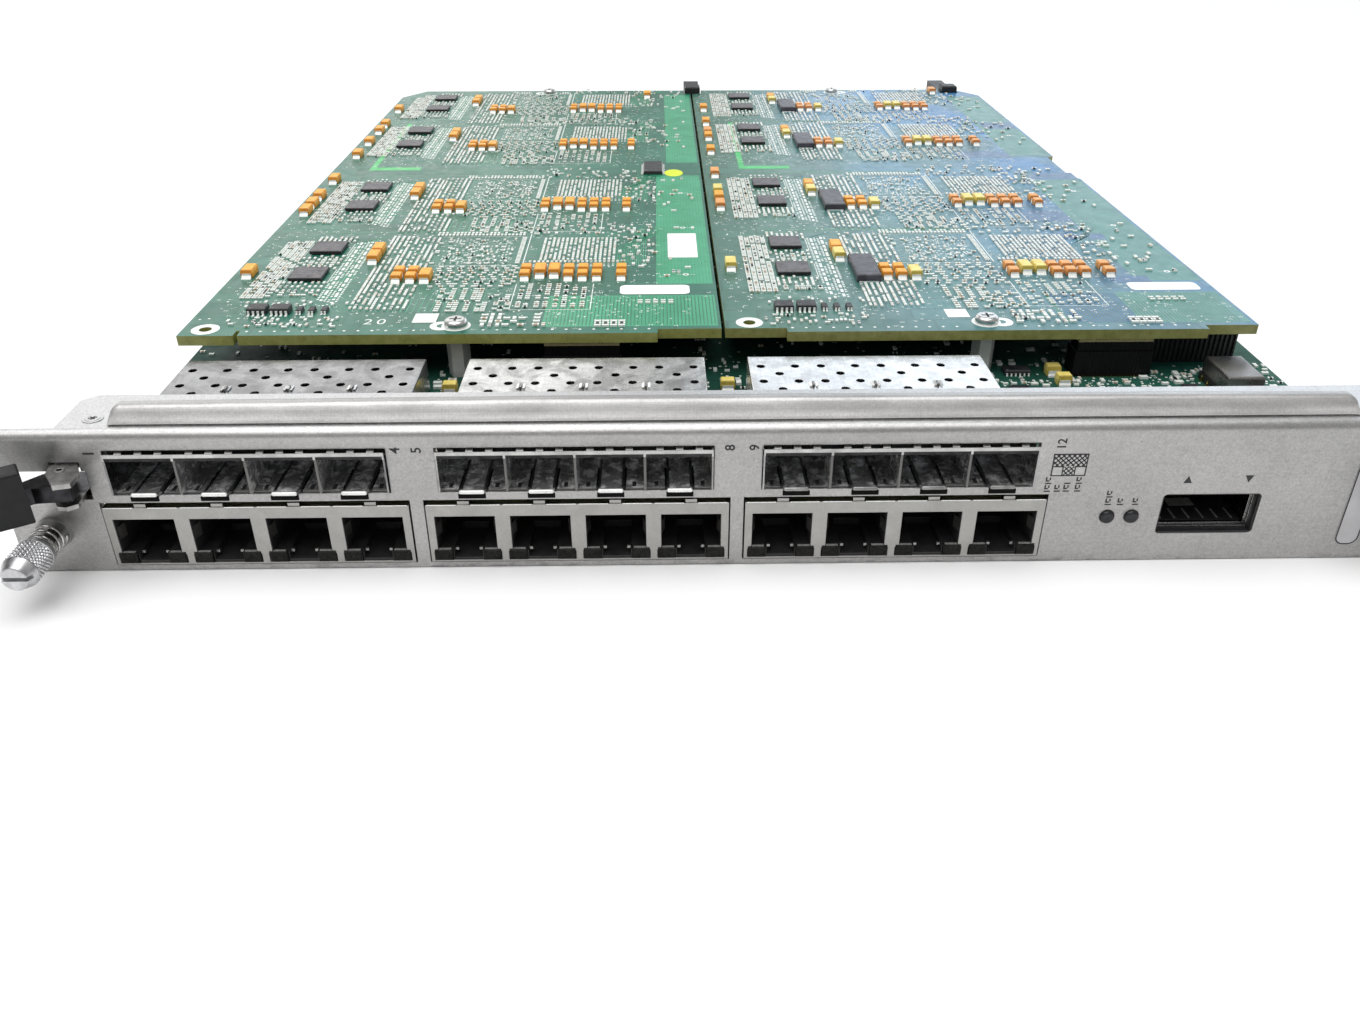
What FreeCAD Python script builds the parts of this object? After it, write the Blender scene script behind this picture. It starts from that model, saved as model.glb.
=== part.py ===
import FreeCAD, Part
import Sketcher
import os

# Test load module: a wide plug-in card for a network chassis.
# Frame: +X to the right of the faceplate, +Y to the rear, +Z up.
# z = 0 is the lower edge of the faceplate, x = 0 its middle, and y = front_y
# is the front surface of the faceplate.  All sizes are in millimetres.

V = FreeCAD.Vector
doc = FreeCAD.newDocument("load_module")
sheet = doc.addObject("Spreadsheet::Sheet", "dims")


class Dim:
    """A length with the sheet expression that drives it."""

    def __init__(self, v, e):
        self.v = float(v)
        self.e = e

    def __add__(self, o):
        o = dim(o)
        return Dim(self.v + o.v, "(%s + %s)" % (self.e, o.e))

    def __radd__(self, o):
        return dim(o) + self

    def __sub__(self, o):
        o = dim(o)
        return Dim(self.v - o.v, "(%s - %s)" % (self.e, o.e))

    def __rsub__(self, o):
        return dim(o) - self

    def __mul__(self, k):
        k = dim(k)
        return Dim(self.v * k.v, "(%s * %s)" % (self.e, k.e))

    def __rmul__(self, k):
        return dim(k) * self

    def __truediv__(self, k):
        k = dim(k)
        return Dim(self.v / k.v, "(%s / %s)" % (self.e, k.e))

    def __neg__(self):
        return Dim(-self.v, "(0 - %s)" % self.e)


def dim(x):
    if isinstance(x, Dim):
        return x
    x = round(float(x), 6)
    return Dim(x, "%.6f" % x if x >= 0 else "(0 - %.6f)" % -x)


class Names:
    pass


n = Names()
rows = [0]


def cell(alias, value):
    rows[0] += 1
    sheet.set("A%d" % rows[0], alias.replace("_", " "))
    sheet.set("B%d" % rows[0], "%.4f" % value)
    sheet.setAlias("B%d" % rows[0], alias)
    setattr(n, alias, Dim(value, "dims." + alias))


# ---------------------------------------------------------------- dimensions
# overall frame
cell("front_y", -183.046)
# faceplate
cell("face_wide", 304.8)
cell("face_high", 33.0)
cell("face_thick", 2.0)
cell("flange_deep", 17.5)
cell("flange_thick", 1.6)
cell("flange_half", 138.8)
cell("fold_radius", 2.0)
# gasket on the flange
cell("gasket_left", -128.3)
cell("gasket_right", 127.0)
cell("gasket_front", 2.5)
cell("gasket_deep", 6.4)
cell("gasket_tall", 3.7)
# label plate
cell("label_left", 128.4)
cell("label_wide", 5.1)
cell("label_low", 3.4)
cell("label_tall", 26.1)
# port blocks
cell("block_first", -129.6)
cell("block_pitch", 66.8)
cell("block_wide", 57.0)
cell("sfp_low", 18.4)
cell("sfp_high", 28.8)
cell("sfp_pitch", 14.25)
cell("cage_wide", 56.6)
cell("cage_low", 18.8)
cell("cage_top", 27.2)
cell("cage_front", -0.8)
cell("cage_back", 49.0)
cell("cage_wall", 0.35)
cell("vent_radius", 1.0)
cell("vent_row", 4.25)
cell("vent_side", 4.05)
cell("vent_back", 43.1)
cell("jack_wide", 63.4)
cell("jack_pitch", 15.85)
cell("jack_low", 1.5)
cell("jack_high", 15.5)
cell("jack_back", 27.0)
cell("jack_wall", 0.35)
cell("jack_open_half", 6.35)
cell("jack_open_top", 12.75)
cell("jack_open_low", 3.9)
cell("jack_cut_high", 16.6)
cell("jack_cut_low", 1.2)
cell("flange_corner", 2.6)
cell("land_wide", 2.7)
cell("land_high", 0.1)
# pluggable optics port
cell("xfp_left", 88.9)
cell("xfp_right", 109.8)
cell("xfp_low", 6.6)
cell("xfp_high", 16.3)
cell("xfp_back", 72.0)
# status lights
cell("led_first", 77.8)
cell("led_second", 83.0)
cell("led_high", 11.0)
cell("led_radius", 1.55)
# boards
cell("main_half", 138.9)
cell("main_front", 2.6)
cell("main_back", 383.0)
cell("main_low", 15.56)
cell("main_top", 17.96)
cell("upper_low", 28.2)
cell("upper_top", 30.7)
cell("upper_front", 55.8)
cell("upper_setback", 2.5)
cell("upper_back", 357.0)
cell("upper_left", -134.2)
cell("upper_mid_left", -1.5)
cell("upper_mid_right", -0.6)
cell("upper_right", 132.1)
cell("board_step", 133.6)
cell("standoff_across", 5.0)
cell("screw_head_radius", 2.9)
cell("screw_radius", 1.5)
cell("guide_radius", 2.2)
cell("cap_wide", 3.2)
cell("cap_deep", 6.0)
cell("cap_tall", 2.4)
cell("pair_wide", 2.9)
cell("pair_deep", 3.5)
cell("pair_tall", 2.1)
cell("pair_pitch", 5.0)
# ejector
cell("pivot_x", -137.3)
cell("pivot_y", -2.9)
cell("pin_radius", 1.0)
cell("lever_low", 20.2)
cell("lever_high", 23.7)
cell("ear_low", 18.2)
cell("ear_high", 24.9)
cell("ear_thick", 1.0)
cell("grip_low", 17.3)
cell("grip_high", 29.0)
cell("grip_long", 22.0)
# thumbscrew
cell("screw_x", -144.0)
cell("screw_z", 9.8)
cell("knob_radius", 3.8)
cell("knob_front", -17.8)
cell("knob_back", -7.7)
cell("neck_radius", 1.3)
cell("thread_radius", 1.5)
cell("ferrule_radius", 3.0)
cell("spring_radius", 3.0)
cell("wire_radius", 0.32)
doc.recompute()


def Y(v):
    """A distance behind the front surface of the faceplate."""
    return n.front_y + v


# ------------------------------------------------------------------- helpers
count = [0]
nodes = {}


def fresh(word):
    count[0] += 1
    return "%s_%03d" % (word, count[0])


def bind(obj, prop, val):
    if "dims." in val.e:
        obj.setExpression(prop, val.e)


def place(obj, x, y, z, rot=None):
    x, y, z = dim(x), dim(y), dim(z)
    obj.Placement = FreeCAD.Placement(V(x.v, y.v, z.v), rot or FreeCAD.Rotation())
    bind(obj, "Placement.Base.x", x)
    bind(obj, "Placement.Base.y", y)
    bind(obj, "Placement.Base.z", z)
    return obj


def size(obj, prop, val):
    val = dim(val)
    setattr(obj, prop, val.v)
    bind(obj, prop, val)


def box(x0, x1, y0, y1, z0, z1):
    b = doc.addObject("Part::Box", fresh("box"))
    x0, x1, y0, y1, z0, z1 = [dim(k) for k in (x0, x1, y0, y1, z0, z1)]
    size(b, "Length", x1 - x0)
    size(b, "Width", y1 - y0)
    size(b, "Height", z1 - z0)
    return place(b, x0, y0, z0)


def rod(axis, x, y, z, radius, length):
    """A cylinder that starts at (x, y, z) and runs along +Y or +Z."""
    c = doc.addObject("Part::Cylinder", fresh("rod"))
    size(c, "Radius", radius)
    size(c, "Height", length)
    rot = FreeCAD.Rotation(V(1, 0, 0), -90) if axis == "Y" else FreeCAD.Rotation()
    return place(c, x, y, z, rot)


def join(parts):
    f = doc.addObject("Part::MultiFuse", fresh("join"))
    f.Shapes = parts
    return f


def cut(base, tools):
    c = doc.addObject("Part::Cut", fresh("cut"))
    c.Base = base
    if len(tools) > 1:
        t = doc.addObject("Part::Compound", fresh("tools"))
        t.Links = tools
        c.Tool = t
    else:
        c.Tool = tools[0]
    return c


def soften(base, radius, test):
    """Round the edges of a Part object whose middle passes the test."""
    doc.recompute()
    f = doc.addObject("Part::Fillet", fresh("round"))
    f.Base = base
    f.Edges = [(i + 1, radius, radius) for i, e in enumerate(base.Shape.Edges)
               if test(e.BoundBox.Center, e)]
    return f


def node(label, obj):
    obj.Label = label
    nodes[label] = obj
    return obj


def group(label, parts):
    g = doc.addObject("Part::Compound", fresh("group"))
    g.Links = parts
    return node(label, g)


def mirror(label, source):
    m = doc.addObject("Part::Mirroring", fresh("mirror"))
    m.Source = source
    m.Base = V(0, 0, 0)
    m.Normal = V(1, 0, 0)
    return node(label, m)


def body(label):
    b = doc.addObject("PartDesign::Body", fresh("body"))
    return node(label, b)


def rect(x0, x1, y0, y1):
    return [(x0, y0), (x1, y0), (x1, y1), (x0, y1)]


def sketch(b, role, loops, offset):
    """Closed loops on one of the body's own origin planes.  A loop is a list
    of corners, or (u, v, radius) for a circle.  Every corner is dimensioned
    from the sketch origin."""
    sk = b.newObject("Sketcher::SketchObject", fresh("sketch"))
    plane = [o for o in b.Origin.OriginFeatures if o.Role == role][0]
    sk.AttachmentSupport = [(plane, "")]
    sk.MapMode = "FlatFace"
    offset = dim(offset)
    sk.AttachmentOffset = FreeCAD.Placement(V(0, 0, offset.v), FreeCAD.Rotation())
    bind(sk, "AttachmentOffset.Base.z", offset)
    geo, con, named = [], [], []

    def pin(kind, axis, i, pos, val):
        val = dim(val)
        if abs(val.v) < 1e-9 and "dims." not in val.e:
            con.append(Sketcher.Constraint("PointOnObject", i, pos, axis))
        else:
            con.append(Sketcher.Constraint(kind, -1, 1, i, pos, val.v))
            named.append((len(con) - 1, val))

    for loop in loops:
        first = len(geo)
        if isinstance(loop, tuple):
            u, v, r = [dim(k) for k in loop]
            geo.append(Part.Circle(V(u.v, v.v, 0), V(0, 0, 1), r.v))
            pin("DistanceX", -2, first, 3, u)
            pin("DistanceY", -1, first, 3, v)
            con.append(Sketcher.Constraint("Radius", first, r.v))
            named.append((len(con) - 1, r))
            continue
        pts = [(dim(u), dim(v)) for u, v in loop]
        k = len(pts)
        for i in range(k):
            a, c = pts[i], pts[(i + 1) % k]
            geo.append(Part.LineSegment(V(a[0].v, a[1].v, 0), V(c[0].v, c[1].v, 0)))
        for i in range(k):
            con.append(Sketcher.Constraint("Coincident", first + i, 2, first + (i + 1) % k, 1))
            pin("DistanceX", -2, first + i, 1, pts[i][0])
            pin("DistanceY", -1, first + i, 1, pts[i][1])
    sk.addGeometry(geo, False)
    sk.addConstraint(con)
    for i, val in named:
        if "dims." in val.e:
            sk.renameConstraint(i, "d%d" % i)
            sk.setExpression("Constraints.d%d" % i, val.e)
    return sk


def pad(b, role, loops, lo, hi):
    lo, hi = dim(lo), dim(hi)
    flip = role == "XZ_Plane"
    sk = sketch(b, role, loops, -lo if flip else lo)
    p = b.newObject("PartDesign::Pad", fresh("pad"))
    p.Profile = sk
    p.Reversed = flip
    size(p, "Length", hi - lo)
    doc.recompute()
    return p


def pocket(b, role, loops, lo, hi):
    lo, hi = dim(lo), dim(hi)
    before = b.Shape.Volume
    sk = sketch(b, role, loops, -lo if role == "XZ_Plane" else hi)
    p = b.newObject("PartDesign::Pocket", fresh("pocket"))
    p.Profile = sk
    size(p, "Length", hi - lo)
    doc.recompute()
    if not b.Shape.Volume < before - 1e-6:
        raise RuntimeError("a pocket in %s cuts nothing" % b.Label)
    return p


def fillet(b, radius, test):
    base = b.Tip
    f = b.newObject("PartDesign::Fillet", fresh("fillet"))
    f.Base = (base, ["Edge%d" % (i + 1) for i, e in enumerate(base.Shape.Edges)
                     if test(e.BoundBox.Center, e)])
    size(f, "Radius", radius)
    doc.recompute()
    return f


def turn(b, profile):
    """Revolve a profile of (radius, y) corners about the body's Y axis."""
    sk = sketch(b, "XY_Plane", [profile], 0)
    r = b.newObject("PartDesign::Revolution", fresh("turn"))
    r.Profile = sk
    r.ReferenceAxis = (sk, ["V_Axis"])
    r.Angle = 360.0
    doc.recompute()
    return r


def near(a, b, tol=0.02):
    return abs(a - b) < tol


def block_left(k):
    return n.block_first + n.block_pitch * k


def block_mid(k):
    return block_left(k) + n.block_wide / 2


def sfp_mid(k, i):
    return block_mid(k) + n.sfp_pitch * (i - 1.5)


def jack_mid(k, i):
    return block_mid(k) + n.jack_pitch * (i - 1.5)


# ----------------------------------------------------------------- faceplate
W, H, t, tf = n.face_wide, n.face_high, n.face_thick, n.flange_thick
face = body("faceplate")
pad(face, "YZ_Plane", [[(Y(0), 0), (Y(t), 0), (Y(t), H - tf), (Y(n.flange_deep), H - tf),
                        (Y(n.flange_deep), H), (Y(0), H)]], -W / 2, W / 2)
fillet(face, n.fold_radius, lambda c, e: near(c.y, Y(0).v) and near(c.z, H.v))
fillet(face, 0.6, lambda c, e: near(c.y, Y(t).v) and near(c.z, (H - tf).v))
pocket(face, "XY_Plane", [rect(-W / 2 - 1, -n.flange_half, Y(t) + 0.01, Y(n.flange_deep) + 1),
                          rect(n.flange_half, W / 2 + 1, Y(t) + 0.01, Y(n.flange_deep) + 1)],
       H - tf - 0.7, H + 1)
# the rear corners of the flange are cut off at 45 degrees
fh, fd, fc = n.flange_half, Y(n.flange_deep), n.flange_corner
pocket(face, "XY_Plane", [[(fh - fc - 1, fd + 1), (fh + 1, fd - fc - 1), (fh + 1, fd + 1)],
                          [(-fh + fc + 1, fd + 1), (-fh - 1, fd + 1), (-fh - 1, fd - fc - 1)]],
       H - tf - 0.7, H + 1)
win_right = -133.9
win_left = -149.2
left_window = [(win_left, 17.5), (win_right, 17.5), (win_right, 24.2), (-134.7, 24.2),
               (-134.7, 26.3), (-140.8, 26.3), (-140.8, 24.2), (win_left, 24.2)]
cuts = []
for k in range(3):
    cuts.append(rect(block_left(k), block_left(k) + n.block_wide, n.sfp_low, n.sfp_high))
    cuts.append(rect(block_mid(k) - n.jack_wide / 2 - 0.3, block_mid(k) + n.jack_wide / 2 + 0.3,
                     n.jack_cut_low, n.jack_cut_high))
cuts.append(rect(n.xfp_left, n.xfp_right, n.xfp_low, n.xfp_high))
cuts.append((n.led_first, n.led_high, n.led_radius + 0.05))
cuts.append((n.led_second, n.led_high, n.led_radius + 0.05))
cuts.append(left_window)
cuts.append([(-u, v) for u, v in reversed(left_window)])
cuts.append((n.screw_x, n.screw_z, n.ferrule_radius + 0.02))
cuts.append((-n.screw_x, n.screw_z, n.ferrule_radius + 0.02))
pocket(face, "XZ_Plane", cuts, Y(-1), Y(t) + 1)
fillet(face, 1.0, lambda c, e: near(e.BoundBox.YLength, t.v) and near(e.BoundBox.XLength, 0)
       and (near(c.x, n.xfp_left.v) or near(c.x, n.xfp_right.v))
       and (near(c.z, n.xfp_low.v) or near(c.z, n.xfp_high.v)))
# a narrow raised land on the rear of each end, which meets the chassis rail
land = n.land_wide
pad(face, "XZ_Plane", [rect(-W / 2, -W / 2 + land, 0, H)], Y(t), Y(t) + n.land_high)
pad(face, "XZ_Plane", [rect(W / 2 - land, W / 2, 0, H)], Y(t), Y(t) + n.land_high)

# gasket strip lying on the flange: flat base, rounded top
gasket = body("top_gasket")
gf, gd, gt = n.gasket_front, n.gasket_deep, n.gasket_tall
pad(gasket, "YZ_Plane", [[(Y(gf), H), (Y(gf + gd), H), (Y(gf + gd), H + gt - 1.5),
                          (Y(gf + gd) - 0.8, H + gt - 0.5), (Y(gf + gd) - 2.2, H + gt),
                          (Y(gf) + 1.6, H + gt), (Y(gf) + 0.5, H + gt - 0.5),
                          (Y(gf), H + gt - 1.4)]], n.gasket_left, n.gasket_right)

# bare label plate with rounded ends
label = body("label_plate")
pad(label, "XZ_Plane", [rect(n.label_left, n.label_left + n.label_wide, n.label_low,
                             n.label_low + n.label_tall)], Y(-0.15), Y(0))
fillet(label, 2.0, lambda c, e: near(e.BoundBox.XLength, 0) and near(e.BoundBox.ZLength, 0))

# -------------------------------------------------------------------- boards
board = body("main_board")
mh = n.main_half
pad(board, "XY_Plane", [[(-mh, Y(n.main_front)), (mh, Y(n.main_front)), (mh, Y(n.main_back) - 6),
                         (mh - 6, Y(n.main_back)), (-mh + 6, Y(n.main_back)),
                         (-mh, Y(n.main_back) - 6)]], n.main_low, n.main_top)

uf, ub, us = n.upper_front, n.upper_back, n.upper_setback
hole = n.screw_radius + 0.2
left_screws = [(-67.2, 61.2), (-67.2, 351.0)]
right_screws = [(64.8, 61.3), (64.8, 351.0)]
left_up = body("left_upper_board")
ul, um = n.upper_left, n.upper_mid_left
pad(left_up, "XY_Plane", [[(ul, Y(uf)), (-120.6, Y(uf)), (-120.6, Y(uf) + 3.0), (-119.6, Y(uf) + 3.0),
                           (-119.6, Y(uf)), (-17.3, Y(uf)), (-17.3, Y(uf + us)), (um, Y(uf + us)),
                           (um, Y(ub) - 8), (-4.6, Y(ub) - 8), (-4.6, Y(ub)), (ul + 9, Y(ub)),
                           (ul, Y(ub) - 14)]],
    n.upper_low, n.upper_top)
pocket(left_up, "XY_Plane", [(x, Y(y), hole) for x, y in left_screws]
       + [(-128.5, Y(59.9), 1.5)], n.upper_low - 1, n.upper_top + 1)

right_up = body("right_upper_board")
vl, vr = n.upper_mid_right, n.upper_right
pad(right_up, "XY_Plane", [[(vl, Y(uf + us)), (14.6, Y(uf + us)), (14.6, Y(uf)), (118.7, Y(uf)),
                            (118.7, Y(uf + us)), (vr, Y(uf + us)), (vr, Y(196)), (vr - 2.5, Y(198)),
                            (vr - 2.5, Y(226)), (vr, Y(228)), (vr, Y(ub) - 14), (vr - 7.4, Y(ub) - 2.6),
                            (124.1, Y(ub) - 2.6), (124.1, Y(ub) - 8), (115.9, Y(ub) - 8), (115.9, Y(ub)),
                            (3.6, Y(ub)), (3.6, Y(ub) - 8), (vl, Y(ub) - 8)]], n.upper_low, n.upper_top)
pocket(right_up, "XY_Plane", [(x, Y(y), hole) for x, y in right_screws]
       + [(5.6, Y(62.0), 1.5)], n.upper_low - 1, n.upper_top + 1)

# hex standoffs between the boards, and the pan-head screws that go into them
standoffs, screws = [], []
for x, y in left_screws + right_screws:
    hexa = doc.addObject("Part::Prism", fresh("hex"))
    hexa.Polygon = 6
    size(hexa, "Circumradius", n.standoff_across / 1.7320508)
    size(hexa, "Height", n.upper_low - n.main_top)
    place(hexa, x, Y(y), n.main_top)
    standoffs.append(cut(hexa, [rod("Z", x, Y(y), n.upper_low - 7, n.screw_radius + 0.05, 8)]))
    head = rod("Z", x, Y(y), n.upper_top, n.screw_head_radius, 1.9)
    head = soften(head, 0.9, lambda c, e: near(c.z, n.upper_top.v + 1.9))
    shank = rod("Z", x, Y(y), n.upper_top - 7.5, n.screw_radius, 8)
    recess = join([box(dim(x) - 1.5, dim(x) + 1.5, Y(y) - 0.3, Y(y) + 0.3, n.upper_top + 0.9,
                       n.upper_top + 3),
                   box(dim(x) - 0.3, dim(x) + 0.3, Y(y) - 1.5, Y(y) + 1.5, n.upper_top + 0.9,
                       n.upper_top + 3)])
    screws.append(cut(join([head, shank]), [recess]))
group("standoffs", standoffs)
group("board_screws", screws)

# -------------------------------------------------------------- SFP port cages
floors, dividers, fingers, hosts = [], [], [], []
wall = n.cage_wall
for k in range(3):
    c0 = block_mid(k) - n.cage_wide / 2
    c1 = block_mid(k) + n.cage_wide / 2
    cage = body("sfp_cage_%d" % (k + 1))
    pad(cage, "XY_Plane", [rect(c0, c1, Y(n.cage_front), Y(n.cage_back))], n.cage_low, n.cage_top)
    pad(cage, "XY_Plane", [rect(c0, c1, Y(t) + 0.6, Y(n.cage_back))], n.main_top, n.cage_low)
    pocket(cage, "XY_Plane", [rect(c0 + wall, c1 - wall, Y(n.cage_front) - 1, Y(n.cage_back) - wall)],
           n.main_top - 1, n.cage_top - wall)
    vents = []
    for r in range(3):
        y8 = Y(n.vent_back) - n.vent_row * (2 * r)
        y4 = Y(n.vent_back) - n.vent_row * (2 * r + 1)
        for i in range(4):
            m = sfp_mid(k, i)
            vents += [(m - n.vent_side, y8, n.vent_radius), (m + n.vent_side, y8, n.vent_radius),
                      (m, y4, n.vent_radius)]
    for i in range(3):
        m = sfp_mid(k, i) + n.sfp_pitch / 2
        vents.append(rect(m - 0.3, m + 0.3, Y(31.3), Y(33.5)))
    pocket(cage, "XY_Plane", vents, n.cage_top - 1, n.cage_top + 1)
    fillet(cage, 0.3, lambda c, e: near(c.z, n.cage_top.v) and
           (near(c.x, c0.v) or near(c.x, c1.v) or near(c.y, Y(n.cage_back).v)))

    for i in range(3):
        m = sfp_mid(k, i) + n.sfp_pitch / 2
        dividers.append(join([box(m - 0.25, m + 0.25, Y(-0.6), Y(47.6), n.cage_low, n.cage_top - wall),
                              box(m - 0.25, m + 0.25, Y(31.4), Y(33.4), n.cage_top - 1,
                                  n.cage_top + 0.55)]))

    deck = [box(c0 + wall, c1 - wall, Y(0.6), Y(34), n.cage_low - 0.3, n.cage_low)]
    gaps = []
    for i in range(4):
        m = sfp_mid(k, i)
        deck.append(box(m - 2.55, m + 2.55, Y(-1.6), Y(1.0), n.cage_low - 0.3, n.cage_low))
        deck.append(box(m - 2.55, m + 2.55, Y(-1.9), Y(-1.55), n.cage_low - 0.3, n.cage_low + 0.5))
        gaps.append(box(m - 3.1, m - 2.55, Y(0), Y(9.5), n.cage_low - 1, n.cage_low + 1))
        gaps.append(box(m + 2.55, m + 3.1, Y(0), Y(9.5), n.cage_low - 1, n.cage_low + 1))
        host = box(m - 5.6, m + 5.6, Y(36.5), Y(46.5), n.main_top, n.main_top + 6.0)
        hosts.append(cut(host, [box(m - 4.7, m + 4.7, Y(36), Y(42), n.main_top + 2.9,
                                    n.main_top + 4.3)]))
    floors.append(cut(join(deck), gaps))

    comb = doc.addObject("PartDesign::Body", fresh("comb"))
    top = n.cage_top
    pad(comb, "YZ_Plane", [[(Y(6.0), top + 0.02), (Y(6.0), top + 0.18), (Y(3.4), top + 0.18),
                            (Y(1.6), top + 1.35), (Y(1.0), top + 1.4), (Y(-0.6), top + 0.42),
                            (Y(-0.6), top + 0.22), (Y(1.05), top + 1.22), (Y(1.5), top + 1.18),
                            (Y(3.3), top + 0.02)]], c0 + 0.8, c1 - 0.8)
    lanes = []
    edge = c0 - 0.1
    for i in range(4):
        for s in (-4.0, 0.0, 4.0):
            m = sfp_mid(k, i) + s
            lanes.append(rect(edge, m - 0.75, Y(-2), Y(3.5)))
            edge = m + 0.75
    lanes.append(rect(edge, c1 + 0.1, Y(-2), Y(3.5)))
    pocket(comb, "XY_Plane", lanes, top - 1, top + 3)
    fingers.append(comb)
group("sfp_cage_dividers", dividers)
group("sfp_cage_floors", floors)
group("sfp_spring_fingers", fingers)
group("sfp_host_connectors", hosts)

# ------------------------------------------------------------------ RJ45 jacks
lenses, contacts = [], []
jw = n.jack_wall
for k in range(3):
    j0 = block_mid(k) - n.jack_wide / 2
    j1 = block_mid(k) + n.jack_wide / 2
    jl, jh, jb = n.jack_low, n.jack_high, n.jack_back
    shell = [box(j0, j1, Y(-0.3), Y(jb), jl, jh)]
    tools = [box(j0 + jw, j1 - jw, Y(-0.3) + jw, Y(jb) - jw, jl + jw, jh - jw)]
    inner = box(j0 + jw, j1 - jw, Y(-0.3) + jw, Y(jb) - jw, jl + jw, jh - jw)
    holes = []
    for i in range(4):
        m = jack_mid(k, i)
        shell.append(box(m - 1.2, m + 1.2, Y(-0.1), Y(1.9), jh - 0.1, jh + 0.8))
        front = join([box(m - n.jack_open_half, m + n.jack_open_half, Y(-1), Y(0.3),
                          n.jack_open_low, n.jack_open_top),
                      box(m - 7.2, m + 7.2, Y(-1), Y(0.3), jl + 0.4, n.jack_open_low + 0.15)])
        tools.append(front)
        holes.append(join([box(m - 6.25, m + 6.25, Y(-1), Y(18), n.jack_open_low + 0.1,
                               n.jack_open_top - 0.1),
                           box(m - 3.0, m + 3.0, Y(-1), Y(12), jl + 0.9, n.jack_open_low + 0.3),
                           box(m - 7.1, m - 3.2, Y(-1), Y(6), jl + 0.4, n.jack_open_low + 0.05),
                           box(m + 3.2, m + 7.1, Y(-1), Y(6), jl + 0.4, n.jack_open_low + 0.05)]))
        for a, b in ((-7.05, -3.25), (3.25, 7.05)):
            lenses.append(box(m + a, m + b, Y(-0.25), Y(5.9), jl + 0.45, n.jack_open_low))
        for s in range(8):
            wire = doc.addObject("Part::Box", fresh("contact"))
            size(wire, "Length", 0.4)
            size(wire, "Width", 11.2)
            size(wire, "Height", 0.3)
            place(wire, m + 1.02 * (s - 3.5) - 0.2, Y(6.2), 11.9,
                  FreeCAD.Rotation(V(1, 0, 0), -11))
            contacts.append(wire)
    node("rj45_shield_%d" % (k + 1), cut(join(shell), tools))
    node("rj45_housing_%d" % (k + 1), cut(inner, holes))
group("rj45_led_lenses", lenses)
group("rj45_contacts", contacts)

# -------------------------------------------- pluggable optics cage and its socket
x0, x1 = n.xfp_left + 0.4, n.xfp_right - 0.4
xz0, xz1 = n.xfp_low + 0.5, n.main_low - 0.04
slots = [box(x0 + 0.4, x1 - 0.4, Y(-2), Y(n.xfp_back) - 0.4, xz0 + 0.4, xz1 - 0.4)]
for i in range(6):
    a = x0 + 2.0 + i * 2.8
    slots.append(box(a, a + 1.6, Y(6), Y(30), xz0 - 1, xz0 + 0.2))
    slots.append(box(a, a + 1.6, Y(6), Y(30), xz0 + 0.2, xz0 + 0.6))
node("xfp_cage", cut(box(x0, x1, Y(t) + 0.2, Y(n.xfp_back), xz0, xz1), slots))
xs = (x0 + x1) / 2
node("xfp_connector", cut(box(xs - 8.8, xs + 8.8, Y(60), Y(70), xz0 + 2.0, xz1 - 0.4),
                          [box(xs - 7.6, xs + 7.6, Y(59), Y(65), xz0 + 3.6, xz0 + 5.2)]))

# two round status lights on right-angle holders under the main board
lights = []
for lx in (n.led_first, n.led_second):
    stem = rod("Y", lx, Y(-0.8), n.led_high, n.led_radius, 9.0)
    stem = soften(stem, 0.7, lambda c, e: near(c.y, Y(-0.8).v))
    lights.append(join([stem, box(lx - 2.3, lx + 2.3, Y(7.5), Y(12), n.led_high - 2.2, n.main_low)]))
group("status_lights", lights)

# ------------------------------------------------ board-to-board connector pairs
plugs, sockets = [], []
for x, y in ((-36.0, 59.0), (96.6, 59.0), (-30.0, 200.0), (-104.0, 212.0), (103.0, 200.0), (30.0, 212.0)):
    y = max(y, 59.3)
    upper = box(dim(x) - 9.3, dim(x) + 9.3, Y(y) - 2.6, Y(y) + 2.6, 24.6, n.upper_low)
    plugs.append(cut(upper, [box(dim(x) - 8.2, dim(x) + 8.2, Y(y) - 1.3, Y(y) + 1.3, 24.0, 27.0)]))
    lower = box(dim(x) - 9.8, dim(x) + 9.8, Y(y) - 3.1, Y(y) + 3.1, n.main_top, 24.5)
    tongue = box(dim(x) - 8.0, dim(x) + 8.0, Y(y) - 1.1, Y(y) + 1.1, 24.4, 26.8)
    sockets.append(join([lower, tongue]))
group("mezzanine_plugs", plugs)
group("mezzanine_sockets", sockets)

# --------------------------------------------- rear connectors under the main board
blocks = []
for bx in (-112.0, -56.0, 0.0, 56.0):
    shell = box(dim(bx) - 25, dim(bx) + 25, Y(360), Y(386), 0.0, n.main_low)
    blocks.append(cut(shell, [box(dim(bx) - 23.4, dim(bx) + 23.4, Y(379), Y(388), 2.0, 13.4)]))
group("backplane_connectors", blocks)
power = box(94.0, 128.0, Y(360), Y(386), 1.5, n.main_low)
node("power_connector", cut(power, [box(96.5 + 4.5 * i, 99.3 + 4.5 * i, Y(377), Y(388), 4.0, 13.0)
                                    for i in range(7)]))
guides = []
for gx in (-0.5, 120.0):
    # a low block with the bore, and a post at its front that stands through the notch
    low = box(dim(gx) - 3.5, dim(gx) + 3.5, Y(n.upper_back) - 4.0, Y(382), n.main_top, n.main_top + 12.4)
    post = box(dim(gx) - 3.5, dim(gx) + 3.5, Y(n.upper_back) - 7.4, Y(n.upper_back) - 0.4, n.main_top,
               n.main_top + 15.6)
    post = soften(post, 0.8, lambda c, e: c.z > n.main_top.v + 15.5)
    guides.append(cut(join([low, post]), [rod("Y", gx, Y(366), n.main_top + 7.0, n.guide_radius, 20)]))
group("guide_sockets", guides)

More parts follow.
